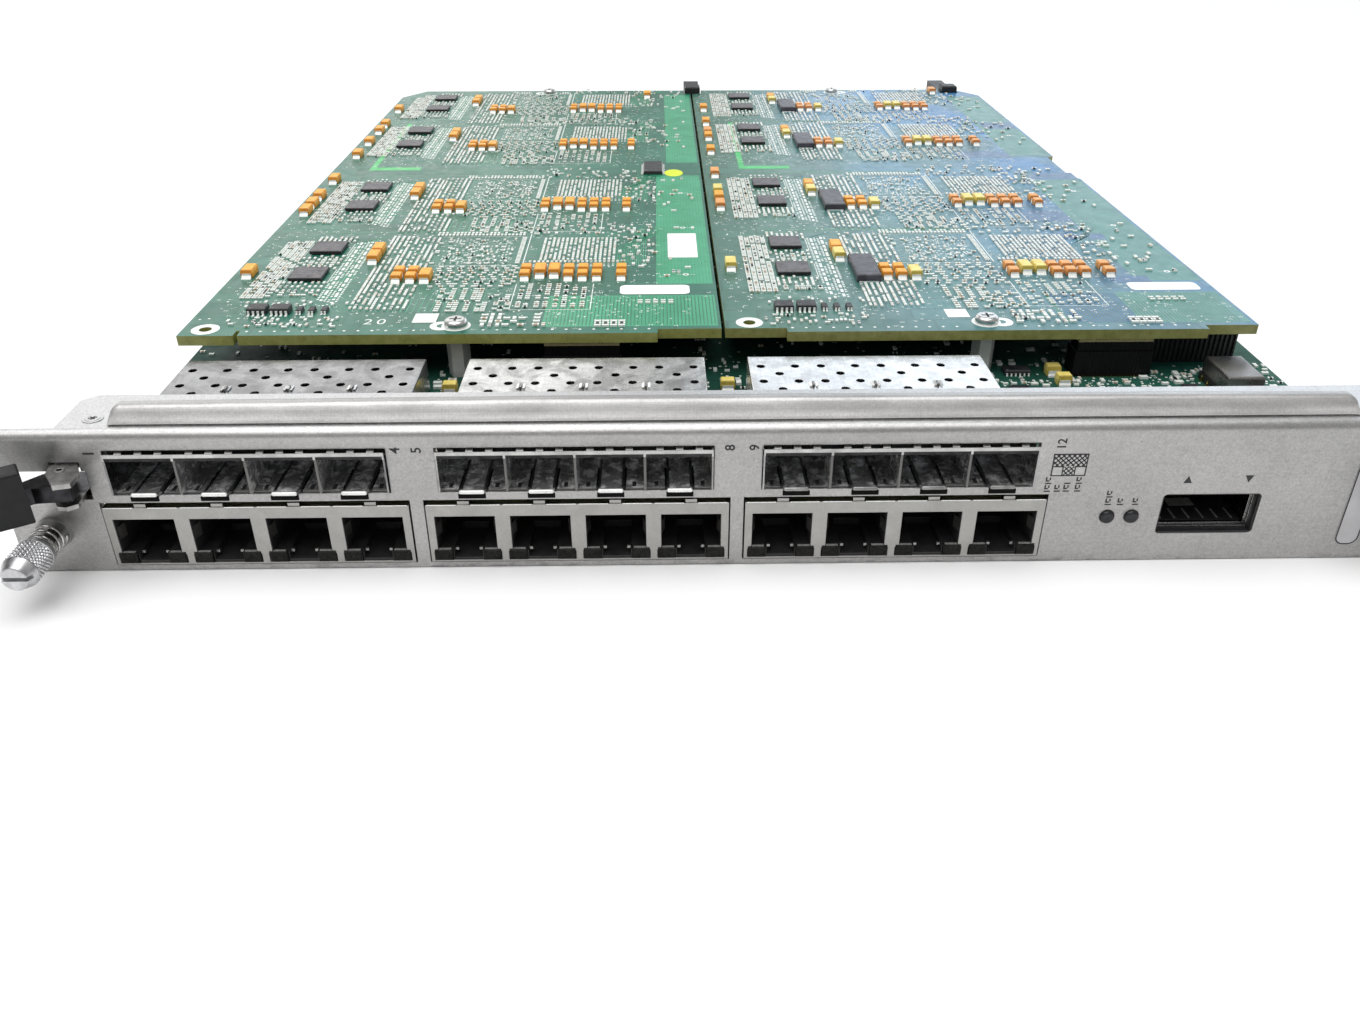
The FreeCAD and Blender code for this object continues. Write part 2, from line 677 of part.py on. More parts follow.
# --------------------------------------------------- parts on the two upper boards
left_rows = (92.5, 158.4, 241.4, 307.7)
right_rows = (92.8, 160.6, 244.0, 310.2)
left_caps, right_caps = [], []


def cap(store, x, y, deep=None):
    """One long capacitor; y is the front of the solder land it stands on."""
    deep = n.cap_deep if deep is None else dim(deep)
    front = Y(y) + 1.3
    store.append(box(dim(x) - n.cap_wide / 2, dim(x) + n.cap_wide / 2, front, front + deep, n.upper_top,
                     n.upper_top + n.cap_tall))


def pair(store, x, y):
    """Two short capacitors, one behind the other."""
    for k in (0, 1):
        front = Y(y) + 1.5 + n.pair_pitch * k
        store.append(box(dim(x) - n.pair_wide / 2, dim(x) + n.pair_wide / 2, front, front + n.pair_deep, n.upper_top,
                         n.upper_top + n.pair_tall))


for store, sx, rows_here in ((left_caps, 0.0, left_rows), (right_caps, 134.6, right_rows)):
    for ry in rows_here:
        for x, dy, kind in ((-53.6, 0.2, pair), (-49.6, 2.4, cap), (-45.7, 2.4, cap), (-41.7, 0.0, pair),
                            (-37.8, 0.0, pair), (-33.9, 0.1, pair)):
            kind(store, x + sx, ry + dy)
        if ry < 300:
            pair(store, -27.2 + sx, ry)
        for x, kind in ((-88.4, pair), (-84.5, pair), (-80.6, cap)):
            kind(store, x + sx - (0.4 if sx else 0.0), ry - 1.2)
        single = -99.8 + sx if sx else -98.0
        cap(store, single, ry + 14.8, 6.0)
        cap(store, single, ry + 21.6, 6.0)
cap(left_caps, -21.6, 338.2)
cap(right_caps, 111.4, 345.0, 5.4)
for y in (95.7, 154.6, 162.6, 172.1, 192.5, 228.5, 248.8, 267.8, 279.5, 308.6):
    cap(left_caps, -129.8, y)
for y in (99.6, 158.4, 168.0, 176.2, 198.6, 232.4, 255.0, 263.0, 281.2, 309.0):
    cap(right_caps, 3.3, y)
group("tantalum_capacitors_left", left_caps)
group("tantalum_capacitors_right", right_caps)

left_mem, right_mem = [], []
for store, sx, fronts in ((left_mem, 0.0, (92.3, 115.2, 158.7, 181.1, 243.1, 266.5, 309.3, 332.0)),
                          (right_mem, 133.7, (94.8, 117.8, 161.8, 184.3, 246.6, 269.4, 310.6, 333.6))):
    for y in fronts:
        store.append(box(-117.8 + sx, -108.6 + sx, Y(y) + 1.5, Y(y) + 10.9, n.upper_top + 0.25, n.upper_top + 1.2))
group("memory_chips_left", left_mem)
group("memory_chips_right", right_mem)

coils = []
for ry in right_rows:
    coils.append(soften(box(36.9, 43.7, Y(ry) - 2.0, Y(ry) + 16.2, n.upper_top, n.upper_top + 2.2), 0.25,
                        lambda c, e: c.z > n.upper_top.v + 0.5))
group("inductor_blocks", coils)

chips = []
for sx in (0.0, 134.0):
    for x in (-121.4, -115.6):
        chips.append(box(x + sx, x + sx + 4.9, Y(69.4), Y(73.3), n.upper_top + 0.15, n.upper_top + 1.7))
    for x in (-109.2, -106.1, -102.9):
        chips.append(box(x + sx, x + sx + 1.6, Y(70.0), Y(73.0), n.upper_top + 0.1, n.upper_top + 1.1))
chips.append(box(-22.0, -15.4, Y(204.4), Y(218.6), n.upper_top + 0.1, n.upper_top + 1.3))
group("driver_chips", chips)

# processors on the underside of the upper boards, each with a finned heat sink
packs, sinks = [], []
for ry in left_rows:
    for sx in (0.0, 133.6):
        cx, cy = -64.0 + sx, ry + 16.0
        packs.append(box(cx - 15.5, cx + 15.5, Y(cy) - 15.5, Y(cy) + 15.5, 25.4, n.upper_low - 0.4))
        base = box(cx - 15, cx + 15, Y(cy) - 15, Y(cy) + 15, 19.4, 25.38)
        sinks.append(cut(base, [box(cx - 12.9 + 4.0 * i, cx - 10.7 + 4.0 * i, Y(cy) - 16, Y(cy) + 16, 19.0,
                                    23.6) for i in range(7)]))
group("processors", packs)
group("heat_sinks", sinks)

# ------------------------------------------------------------- main board parts
yellow = []
for x, y in ((-68.1, 49.6), (-0.2, 50.4), (82.3, 57.6), (83.3, 51.9)):
    yellow.append(box(dim(x) - 1.8, dim(x) + 1.8, Y(y) - 1.4, Y(y) + 1.6, n.main_top, n.main_top + 2.8))
group("main_board_capacitors", yellow)
small = []
for x, y, a, b, c in ((-70.0, 44.5, 4.0, 4.0, 1.0), (-66.0, 36.0, 4.0, 6.0, 1.2), (-2.6, 44.0, 4.2, 5.0, 1.1),
                      (-1.4, 34.0, 3.6, 6.0, 1.2), (73.4, 58.8, 7.4, 4.6, 1.4), (71.5, 47.5, 6.0, 4.0, 1.2),
                      (78.0, 34.0, 12.0, 12.0, 1.4), (98.0, 38.0, 14.0, 14.0, 1.6), (113.6, 47.5, 5.0, 4.0, 1.2),
                      (131.0, 32.0, 6.0, 8.0, 1.4), (-80.0, 66.0, 8.0, 8.0, 1.4), (-15.0, 66.0, 8.0, 8.0, 1.4)):
    small.append(box(dim(x) - a / 2, dim(x) + a / 2, Y(y) - b / 2, Y(y) + b / 2, n.main_top + 0.1,
                     n.main_top + c))
for x in (-101.1, -34.3, 32.5):
    small.append(box(dim(x) - 13.5, dim(x) + 13.5, Y(36), Y(63), n.main_low - 2.2, n.main_low - 0.3))
group("main_board_chips", small)
osc = box(119.0, 128.0, Y(41.6), Y(55.0), n.main_top + 1.8, n.main_top + 6.0)
node("oscillator_can", soften(osc, 0.6, lambda c, e: c.z > n.main_top.v + 5.9))
node("oscillator_base", box(118.6, 128.4, Y(41.2), Y(55.4), n.main_top, n.main_top + 1.78))
bricks = []
for x, y in ((-95.0, 230.0), (95.0, 230.0), (0.0, 300.0)):
    b = box(dim(x) - 29, dim(x) + 29, Y(y) - 18.5, Y(y) + 18.5, n.main_low - 10.5, n.main_low - 0.5)
    pins = [rod("Z", dim(x) + px, Y(y) + py, n.main_low - 1.0, 0.7, 1.0)
            for px in (-25.4, 25.4) for py in (-12.7, 0.0, 12.7)]
    bricks.append(join([b] + pins))
group("power_modules", bricks)

# ------------------------------------------------------------------- ejectors
px, py = n.pivot_x, n.pivot_y
bracket = body("left_ejector_bracket")
eh, el, et = n.ear_high, n.ear_low, n.ear_thick
pad(bracket, "XY_Plane", [[(-140.4, Y(0.0)), (-139.7, Y(-4.0)), (-138.2, Y(-6.1)), (-136.1, Y(-9.1)),
                           (-132.9, Y(-8.2)), (-133.0, Y(-3.8)), (-135.0, Y(0.0)), (-135.0, Y(t)),
                           (-132.6, Y(t)), (-132.6, Y(9.0)), (-140.4, Y(9.0))]], eh, eh + et)
pad(bracket, "XY_Plane", [rect(-133.6, -132.6, Y(t), Y(9.0))], el, eh)
pad(bracket, "XY_Plane", [[(-140.4, Y(0.0)), (-139.8, Y(-3.6)), (-138.4, Y(-5.6)), (-136.4, Y(-6.0)),
                           (-134.6, Y(-4.6)), (-135.0, Y(0.0)), (-135.0, Y(t)), (-132.6, Y(t)),
                           (-132.6, Y(9.0)), (-140.4, Y(9.0))]], el, el + et)
pad(bracket, "XY_Plane", [rect(-132.7, -130.2, Y(t), Y(t) + 1.0)], el, eh + et)
pocket(bracket, "XY_Plane", [(px, Y(py), n.pin_radius + 0.02)], el - 1, eh + et + 1)

lever = body("left_ejector_lever")
arm = [(-134.9, Y(-5.3)), (-142.1, Y(-6.2)), (-155.43, Y(-16.8)), (-157.05, Y(-14.28)), (-147.0, Y(-5.8)),
       (-142.6, Y(-0.3)), (-140.4, Y(1.6)), (-140.4, Y(3.8)), (-142.0, Y(4.2)), (-142.0, Y(6.2)),
       (-139.2, Y(6.2)), (-138.3, Y(4.0)), (-135.9, Y(-0.6))]
pad(lever, "XY_Plane", [arm], n.lever_low, n.lever_high)
pad(lever, "XY_Plane", [(px, Y(py), 1.8)], n.lever_low - 0.7, n.lever_high + 0.9)
pocket(lever, "XY_Plane", [(px, Y(py), n.pin_radius + 0.06)], n.lever_low - 2, n.lever_high + 2)

# the grip is moulded round the outer end of the lever
ux, uy = -0.84, -0.5426
g0 = (-142.8, -6.9)
half = 2.55


def along(s, w):
    return (g0[0] + ux * s - uy * w, Y(g0[1] + uy * s + ux * w))


L = n.grip_long.v
grip = doc.addObject("PartDesign::Body", fresh("grip"))
pad(grip, "XY_Plane", [[along(0, half), along(L * 0.55, half), along(L * 0.8, half * 0.94), along(L, half * 0.5),
                        along(L, -half * 0.6), along(L * 0.8, -half), along(0, -half)]],
    n.grip_low, n.grip_high)
fillet(grip, 0.7, lambda c, e: (near(c.z, n.grip_low.v) or near(c.z, n.grip_high.v)))
seat = doc.addObject("PartDesign::Body", fresh("seat"))
pad(seat, "XY_Plane", [arm], n.lever_low, n.lever_high)
left_grip = node("left_ejector_grip", cut(grip, [seat]))

left_pin = node("left_pivot_pin", cut(rod("Z", px, Y(py), n.ear_low - 0.3, n.pin_radius, 8.3),
                                      [rod("Z", px, Y(py), n.ear_low - 1, 0.55, 10)]))

# --------------------------------------------------------------- thumbscrews
screw = body("left_thumbscrew")
kr, nr, tr = n.knob_radius, n.neck_radius, n.thread_radius
turn(screw, [(0, n.knob_front), (kr - 1.2, n.knob_front), (kr, n.knob_front + 2.8), (kr, n.knob_back - 0.7),
             (kr - 0.4, n.knob_back), (nr, n.knob_back), (nr, 3.4), (tr, 3.6), (tr, 8.6), (tr - 0.4, 9.0),
             (0, 9.0)])
pocket(screw, "XZ_Plane", [rect(-6, 6, -0.5, 0.5)], n.knob_front - 1, n.knob_front + 1.5)
place(screw, n.screw_x, Y(0), n.screw_z)

ferrule = body("left_thumbscrew_ferrule")
bore = nr + 0.06
turn(ferrule, [(bore, -1.0), (3.6, -1.0), (3.6, 0), (n.ferrule_radius, 0), (n.ferrule_radius, 2.8),
               (n.ferrule_radius - 0.4, 3.2), (bore, 3.2)])
place(ferrule, n.screw_x, Y(0), n.screw_z)

washer = body("left_slip_washer")
turn(washer, [(bore, -7.6), (3.5, -7.6), (3.5, -7.1), (bore, -7.1)])
place(washer, n.screw_x, Y(0), n.screw_z)

# compression spring between the slip washer and the ferrule
spring = body("left_thumbscrew_spring")
wr, sr = n.wire_radius, n.spring_radius
coil_sketch = sketch(spring, "XY_Plane", [(sr, -7.0 + wr, wr)], 0)
coil = spring.newObject("PartDesign::AdditiveHelix", fresh("coil"))
coil.Profile = coil_sketch
coil.ReferenceAxis = (coil_sketch, ["V_Axis"])
coil.Mode = "height-turns-angle"
size(coil, "Height", 5.9 - 2 * wr)
coil.Turns = 3.0
coil.Angle = 0
doc.recompute()
place(spring, n.screw_x, Y(0), n.screw_z)

for name in ("ejector_bracket", "ejector_lever", "ejector_grip", "pivot_pin", "thumbscrew",
             "thumbscrew_ferrule", "slip_washer", "thumbscrew_spring"):
    mirror("right_" + name, nodes["left_" + name])

# ------------------------------------------------------------ check and write
doc.recompute()
for obj in doc.Objects:
    bad = [s for s in obj.State if s in ("Invalid", "Error")]
    if bad:
        raise RuntimeError("%s (%s) is %s" % (obj.Name, obj.Label, bad))
for label, obj in nodes.items():
    shape = obj.Shape
    if shape.isNull() or not shape.isValid() or not shape.Solids:
        raise RuntimeError("the shape of %s is not a valid solid" % label)

os.makedirs("parts", exist_ok=True)
whole = FreeCAD.BoundBox()
for label, obj in sorted(nodes.items()):
    obj.Shape.exportStep("parts/%s.step" % label)
    bb = obj.Shape.BoundBox
    whole.add(bb)
    print("%-26s solids %3d  volume %9.1f  x %.2f..%.2f y %.2f..%.2f z %.2f..%.2f" % (
        label, len(obj.Shape.Solids), obj.Shape.Volume, bb.XMin, bb.XMax, bb.YMin, bb.YMax, bb.ZMin, bb.ZMax))
print("nodes", len(nodes), "box", whole)
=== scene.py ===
import math
import random

import bpy
import numpy as np
from mathutils import Matrix, Vector


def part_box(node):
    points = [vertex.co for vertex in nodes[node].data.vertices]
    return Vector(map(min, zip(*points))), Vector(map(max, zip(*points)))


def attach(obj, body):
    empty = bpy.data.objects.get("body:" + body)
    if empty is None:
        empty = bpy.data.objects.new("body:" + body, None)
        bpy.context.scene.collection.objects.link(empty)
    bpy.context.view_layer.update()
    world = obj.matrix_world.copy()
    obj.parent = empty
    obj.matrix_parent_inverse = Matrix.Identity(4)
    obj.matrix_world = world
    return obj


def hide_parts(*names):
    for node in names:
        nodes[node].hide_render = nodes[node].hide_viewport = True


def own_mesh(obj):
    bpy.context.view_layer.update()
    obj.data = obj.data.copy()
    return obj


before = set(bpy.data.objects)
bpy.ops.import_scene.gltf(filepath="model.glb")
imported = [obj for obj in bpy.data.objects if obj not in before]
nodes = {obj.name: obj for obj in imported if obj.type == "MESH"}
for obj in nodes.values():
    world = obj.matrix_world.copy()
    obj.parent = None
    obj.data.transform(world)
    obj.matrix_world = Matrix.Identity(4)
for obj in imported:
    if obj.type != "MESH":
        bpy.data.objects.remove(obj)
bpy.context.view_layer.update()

# A test load module: a network card with a metal faceplate, twelve optical
# and twelve copper ports, one larger optics port, a main board and two boards
# stacked on it.  Lengths below are millimetres: x from the middle of the
# faceplate, y behind its front surface, z above its lower edge.
MM = 0.001
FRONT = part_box("faceplate")[0].y
FRONT_MM = FRONT / MM
dice = random.Random(11)


# ------------------------------------------------------------------ materials
def lin(r, g, b):
    """Linear colour of a display colour given in 0..255."""
    out = []
    for c in (r, g, b):
        c /= 255.0
        out.append(c / 12.92 if c <= 0.04045 else ((c + 0.055) / 1.055) ** 2.4)
    return tuple(out) + (1.0,)


class Finish:
    """A procedural material whose textures are measured in millimetres."""

    def __init__(self, name, metal=0.0, rough=0.5, spec=0.5, coat=0.0, coat_rough=0.1):
        self.m = bpy.data.materials.new(name)
        self.m.use_nodes = True
        self.t = self.m.node_tree
        self.t.nodes.clear()
        self.out = self.add("ShaderNodeOutputMaterial")
        self.b = self.add("ShaderNodeBsdfPrincipled")
        self.link(self.b.outputs["BSDF"], self.out.inputs["Surface"])
        self.b.inputs["Metallic"].default_value = metal
        self.b.inputs["Roughness"].default_value = rough
        self.b.inputs["Specular IOR Level"].default_value = spec
        self.b.inputs["Coat Weight"].default_value = coat
        self.b.inputs["Coat Roughness"].default_value = coat_rough
        where = self.add("ShaderNodeTexCoord")
        self.co = self.scaled(where.outputs["Object"], (1000, 1000, 1000))

    def add(self, kind):
        return self.t.nodes.new(kind)

    def link(self, a, b):
        self.t.links.new(a, b)

    def put(self, socket, value):
        if isinstance(value, (int, float)):
            socket.default_value = value
        elif isinstance(value, tuple):
            socket.default_value = value
        else:
            self.link(value, socket)

    def scaled(self, vec, scale, move=(0, 0, 0), turn=(0, 0, 0)):
        n = self.add("ShaderNodeMapping")
        n.inputs["Scale"].default_value = scale
        n.inputs["Location"].default_value = move
        n.inputs["Rotation"].default_value = turn
        self.link(vec, n.inputs["Vector"])
        return n.outputs["Vector"]

    def noise(self, size, detail=2.0, rough=0.5, stretch=None, warp=0.0):
        n = self.add("ShaderNodeTexNoise")
        n.inputs["Scale"].default_value = 1.0 / size
        n.inputs["Detail"].default_value = detail
        n.inputs["Roughness"].default_value = rough
        n.inputs["Distortion"].default_value = warp
        self.link(self.scaled(self.co, stretch) if stretch else self.co, n.inputs["Vector"])
        return n.outputs["Fac"]

    def cells(self, size, stretch=None, kind="F1", out="Distance"):
        n = self.add("ShaderNodeTexVoronoi")
        n.feature = kind
        n.inputs["Scale"].default_value = 1.0 / size
        self.link(self.scaled(self.co, stretch) if stretch else self.co, n.inputs["Vector"])
        return n.outputs[out]

    def wave(self, size, axis="X", warp=0.0, shape="SIN", turn=(0, 0, 0)):
        n = self.add("ShaderNodeTexWave")
        n.wave_type = "BANDS"
        n.bands_direction = axis
        n.wave_profile = shape
        n.inputs["Scale"].default_value = 0.314159 / size
        n.inputs["Distortion"].default_value = warp
        self.link(self.scaled(self.co, (1, 1, 1), turn=turn), n.inputs["Vector"])
        return n.outputs["Fac"]

    def span(self, fac, a, b, c=0.0, d=1.0):
        n = self.add("ShaderNodeMapRange")
        self.put(n.inputs["Value"], fac)
        for key, v in (("From Min", a), ("From Max", b), ("To Min", c), ("To Max", d)):
            n.inputs[key].default_value = v
        return n.outputs["Result"]

    def calc(self, op, a, b=0.0):
        n = self.add("ShaderNodeMath")
        n.operation = op
        self.put(n.inputs[0], a)
        self.put(n.inputs[1], b)
        return n.outputs[0]

    def mix(self, fac, a, b, blend="MIX"):
        n = self.add("ShaderNodeMix")
        n.data_type = "RGBA"
        n.blend_type = blend
        self.put(n.inputs[0], fac)
        self.put(n.inputs[6], a)
        self.put(n.inputs[7], b)
        return n.outputs[2]

    def shade(self, colour, fac):
        """Multiply a colour by a grey value."""
        n = self.add("ShaderNodeVectorMath")
        n.operation = "SCALE"
        self.put(n.inputs[0], colour[:3] if isinstance(colour, tuple) else colour)
        self.put(n.inputs["Scale"], fac)
        return n.outputs[0]

    def axis(self, which):
        n = self.add("ShaderNodeSeparateXYZ")
        self.link(self.co, n.inputs[0])
        return n.outputs[which]

    def facing(self, which):
        g = self.add("ShaderNodeNewGeometry")
        n = self.add("ShaderNodeSeparateXYZ")
        self.link(g.outputs["Normal"], n.inputs[0])
        return n.outputs[which]

    def round_edges(self, radius):
        n = self.add("ShaderNodeBevel")
        n.samples = 4
        n.inputs["Radius"].default_value = radius * MM
        return n.outputs["Normal"]

    def bump(self, height, strength, depth, normal=None):
        n = self.add("ShaderNodeBump")
        n.inputs["Strength"].default_value = strength
        n.inputs["Distance"].default_value = depth * MM
        self.link(height, n.inputs["Height"])
        if normal is not None:
            self.link(normal, n.inputs["Normal"])
        self.link(n.outputs["Normal"], self.b.inputs["Normal"])
        return n.outputs["Normal"]

    def colour(self, c):
        self.put(self.b.inputs["Base Color"], c)

    def rough(self, r):
        self.put(self.b.inputs["Roughness"], r)


def plain(name, a, b, size=6.0, metal=0.0, rough=(0.4, 0.55), grain=0.3, speck=0.12, bump=0.15,
          depth=0.05, edge=0.0, spec=0.5, coat=0.0, stretch=None):
    """Two tones in soft clouds, a fine grain over them, and matching gloss."""
    f = Finish(name, metal=metal, spec=spec, coat=coat)
    cloud = f.noise(size, 3.0, 0.55, stretch)
    fine = f.noise(grain, 3.0, 0.6, stretch)
    tone = f.mix(f.span(cloud, 0.32, 0.68), a, b)
    f.colour(f.shade(tone, f.span(fine, 0.25, 0.75, 1.0 - speck, 1.0 + speck)))
    f.rough(f.span(f.noise(size * 0.6, 3.0, 0.6), 0.3, 0.7, rough[0], rough[1]))
    f.bump(fine, bump, depth, f.round_edges(edge) if edge else None)
    return f


def sheet_metal(name, tone, rough, blotch, edge=0.12, tilt=0.35, reflection_patch=0.0, front=1.0, metal=1.0):
    """Plated sheet steel: soft blotches in the plating, large patches of painted reflection, a slightly wavy sheet and
    painted shade on the faces turned to the front.
    """
    f = Finish(name, metal=metal)
    a = tuple(c * (1.0 - blotch) for c in tone[:3]) + (1.0,)
    b = tuple(min(1.0, c * (1.0 + blotch)) for c in tone[:3]) + (1.0,)
    cloud = f.noise(5.0, 4.0, 0.6, warp=0.6)
    fine = f.noise(0.35, 3.0, 0.6)
    streak = f.noise(0.5, 2.0, 0.5, (1.0, 0.06, 1.0))
    tone2 = f.mix(f.span(cloud, 0.3, 0.7), a, b)
    tone2 = f.shade(tone2, f.span(streak, 0.3, 0.7, 0.94, 1.05))
    # painted reflection: large soft patches, lighter and darker
    if reflection_patch:
        tone2 = f.shade(tone2, f.span(f.noise(15.0, 4.0, 0.62, warp=1.6), 0.43, 0.57, 1.0 - reflection_patch, 1.0 + reflection_patch))
    # painted shade: faces turned to the front are darker
    if front < 1.0:
        tone2 = f.shade(tone2, f.span(f.facing("Y"), -0.8, -0.6, front, 1.0))
    f.colour(tone2)
    f.rough(f.span(f.noise(3.0, 4.0, 0.65), 0.3, 0.72, rough[0], rough[1]))
    wavy = f.calc("ADD", f.noise(7.0, 2.0, 0.5), f.calc("MULTIPLY", fine, 0.03))
    f.bump(wavy, tilt, 0.5, f.round_edges(edge))
    return f


M = {}

# satin aluminium of the faceplate, with fine specks, faint streaks and scuffs; its upward faces are painted paler as
# light
f = Finish("face_aluminium", metal=1.0)
cloud = f.noise(26.0, 3.0, 0.55)
fine = f.noise(0.36, 2.0, 0.75)
coarse = f.noise(1.0, 3.0, 0.7)
streak = f.noise(0.5, 3.0, 0.6, (0.03, 1.0, 1.0))
tone = f.mix(f.span(cloud, 0.3, 0.7), lin(166, 165, 164), lin(178, 177, 176))
# painted light: faces turned up, such as the flange top, are painted a pale grey as if lit from above
tone = f.mix(f.span(f.facing("Z"), 0.85, 0.97), tone, lin(214, 214, 214))
tone = f.shade(tone, f.span(fine, 0.26, 0.74, 0.80, 1.16))
tone = f.shade(tone, f.span(coarse, 0.28, 0.72, 0.92, 1.07))
tone = f.shade(tone, f.span(streak, 0.3, 0.7, 0.97, 1.03))
pits = f.span(f.cells(1.9), 0.02, 0.10, 0.55, 1.0)
keep = f.span(f.noise(9.0, 2.0), 0.52, 0.60)
tone = f.mix(keep, tone, f.shade(tone, pits))
low = f.span(f.axis("Z"), 0.0, 1.6, 1.0, 0.0)
worn = f.calc("MULTIPLY", low, f.span(f.noise(2.2, 4.0, 0.7, (0.5, 1, 1)), 0.5, 0.62))
tone = f.mix(f.calc("MULTIPLY", worn, 0.55), tone, lin(96, 95, 95))
f.colour(tone)
f.rough(f.span(f.noise(2.5, 4.0, 0.65), 0.3, 0.7, 0.34, 0.46))
f.bump(f.calc("ADD", fine, f.calc("MULTIPLY", streak, 0.5)), 0.10, 0.03, f.round_edges(0.22))
M["face"] = f.m

# silvered fabric over foam, its lower front painted brighter as light
f = Finish("gasket_cloth", metal=0.7)
warp = f.wave(0.28, "X")
weft = f.wave(0.28, "Y")
weave = f.calc("MAXIMUM", warp, f.calc("MULTIPLY", weft, f.wave(0.28, "Z")))
crease = f.noise(3.2, 3.0, 0.55, (0.18, 1.0, 1.0), warp=0.3)
tone = f.mix(f.span(crease, 0.34, 0.66), lin(170, 169, 168), lin(190, 189, 188))
tone = f.shade(tone, f.span(f.noise(0.5, 3.0, 0.7), 0.25, 0.75, 0.84, 1.14))
# painted light: below the crown the cloth is painted up to a third brighter
tone = f.shade(tone, f.span(f.axis("Z"), 34.3, 35.2, 1.35, 1.0))
f.colour(f.shade(tone, f.span(weave, 0.0, 1.0, 0.90, 1.05)))
f.rough(f.span(f.noise(1.2, 3.0, 0.6), 0.3, 0.7, 0.34, 0.46))
f.bump(f.calc("ADD", f.calc("MULTIPLY", weave, 0.15), crease), 0.22, 0.16)
M["gasket"] = f.m

M["label"] = plain("label_film", lin(176, 175, 176), lin(186, 185, 187), 5.0, 0.55, (0.30, 0.40), 0.25, 0.05,
                   0.08, 0.02, spec=0.5).m


def laminate(name, mask_a, mask_b, edge_a, edge_b, blue_sheen=None, under_ports=False):
    """Glass laminate: green mask over copper on both faces, bare fibre on the edges."""
    f = Finish(name, metal=0.0, spec=0.5)
    up = f.calc("ABSOLUTE", f.facing("Z"))
    cloud = f.noise(30.0, 3.0, 0.5)
    tone = f.mix(f.span(cloud, 0.3, 0.7), mask_a, mask_b)
    if blue_sheen is not None:
        # painted reflection: a cool window sheen painted as a bluer mask colour towards the far right of this board
        side = f.span(f.calc("ADD", f.axis("X"), f.calc("MULTIPLY", f.axis("Y"), 0.25)), 40.0, 130.0)
        reflection_patch = f.span(f.noise(34.0, 2.0, 0.5, warp=0.8), 0.40, 0.60, 0.25, 1.0)
        tone = f.mix(f.calc("MULTIPLY", side, reflection_patch), tone, blue_sheen)
        # greener along the joint with the other board, paler in the middle
        tone = f.mix(f.span(f.axis("X"), 18.0, 48.0, 0.85, 0.0), tone, lin(60, 110, 90))
        tone = f.shade(tone, f.span(f.axis("X"), 40.0, 55.0, 1.0, 1.2))
        tone = f.shade(tone, f.span(f.axis("X"), 86.0, 100.0, 1.0, 0.84))
    # copper planes and routing under the mask show as slightly lighter blocks and lines
    plane = f.add("ShaderNodeTexBrick")
    plane.offset = 0.37
    plane.squash = 1.6
    plane.squash_frequency = 3
    for key, v in (("Scale", 1.0), ("Mortar Size", 0.35), ("Mortar Smooth", 0.0), ("Bias", 0.0),
                   ("Brick Width", 13.0), ("Row Height", 7.5)):
        plane.inputs[key].default_value = v
    plane.inputs["Color1"].default_value = (1.05, 1.05, 1.05, 1)
    plane.inputs["Color2"].default_value = (0.86, 0.86, 0.86, 1)
    plane.inputs["Mortar"].default_value = (0.74, 0.74, 0.74, 1)
    f.link(f.co, plane.inputs["Vector"])
    lines = f.span(f.wave(0.42, "X", shape="SIN"), 0.35, 0.65, 0.90, 1.06)
    across = f.span(f.wave(0.42, "Y", shape="SIN"), 0.35, 0.65, 0.92, 1.05)
    which = f.span(f.noise(9.0, 1.0, 0.3, (1, 0.7, 1)), 0.47, 0.53)
    route = f.add("ShaderNodeMix")
    route.data_type = "FLOAT"
    f.link(which, route.inputs[0])
    f.link(lines, route.inputs[2])
    f.link(across, route.inputs[3])
    tone = f.mix(1.0, tone, plane.outputs["Color"], "MULTIPLY")
    tone = f.shade(tone, route.outputs[0])
    fibre = f.span(f.wave(0.16, "Z", warp=1.5), 0.1, 0.9, 0.82, 1.1)
    side_tone = f.shade(f.mix(f.span(f.noise(2.5, 4.0, 0.7), 0.3, 0.7), edge_a, edge_b), fibre)
    if under_ports:
        # painted shade darkens the board where the port cages and jacks sit on it
        shaded = f.span(f.axis("Y"), FRONT_MM + 47.0, FRONT_MM + 50.0)
        tone = f.shade(tone, f.span(f.calc("MAXIMUM", shaded, f.span(f.axis("X"), 61.0, 63.0)), 0.0, 1.0, 0.25, 1.0))
        tone = f.shade(tone, f.span(f.axis("X"), 61.0, 63.0, 1.0, 1.5))
    f.colour(f.mix(f.span(up, 0.45, 0.55), side_tone, tone))
    low, high = (0.46, 0.66) if under_ports else (0.26, 0.40)
    f.rough(f.span(f.noise(4.0, 3.0, 0.6), 0.3, 0.7, low, high))
    if under_ports:
        f.b.inputs["Specular IOR Level"].default_value = 0.2
    f.bump(f.calc("ADD", f.calc("MULTIPLY", route.outputs[0], 0.5), f.noise(0.3, 2.0)), 0.12, 0.03)
    return f.m


M["upper_left"] = laminate("upper_laminate", lin(30, 96, 78), lin(50, 118, 98), lin(124, 128, 64), lin(156, 158, 92))
M["upper_right"] = laminate("upper_laminate_b", lin(58, 104, 104), lin(78, 122, 126), lin(116, 118, 62),
                            lin(148, 150, 90), lin(60, 122, 172))
M["main"] = laminate("main_laminate", lin(18, 58, 48), lin(32, 78, 64), lin(72, 80, 44), lin(96, 102, 60),
                     under_ports=True)
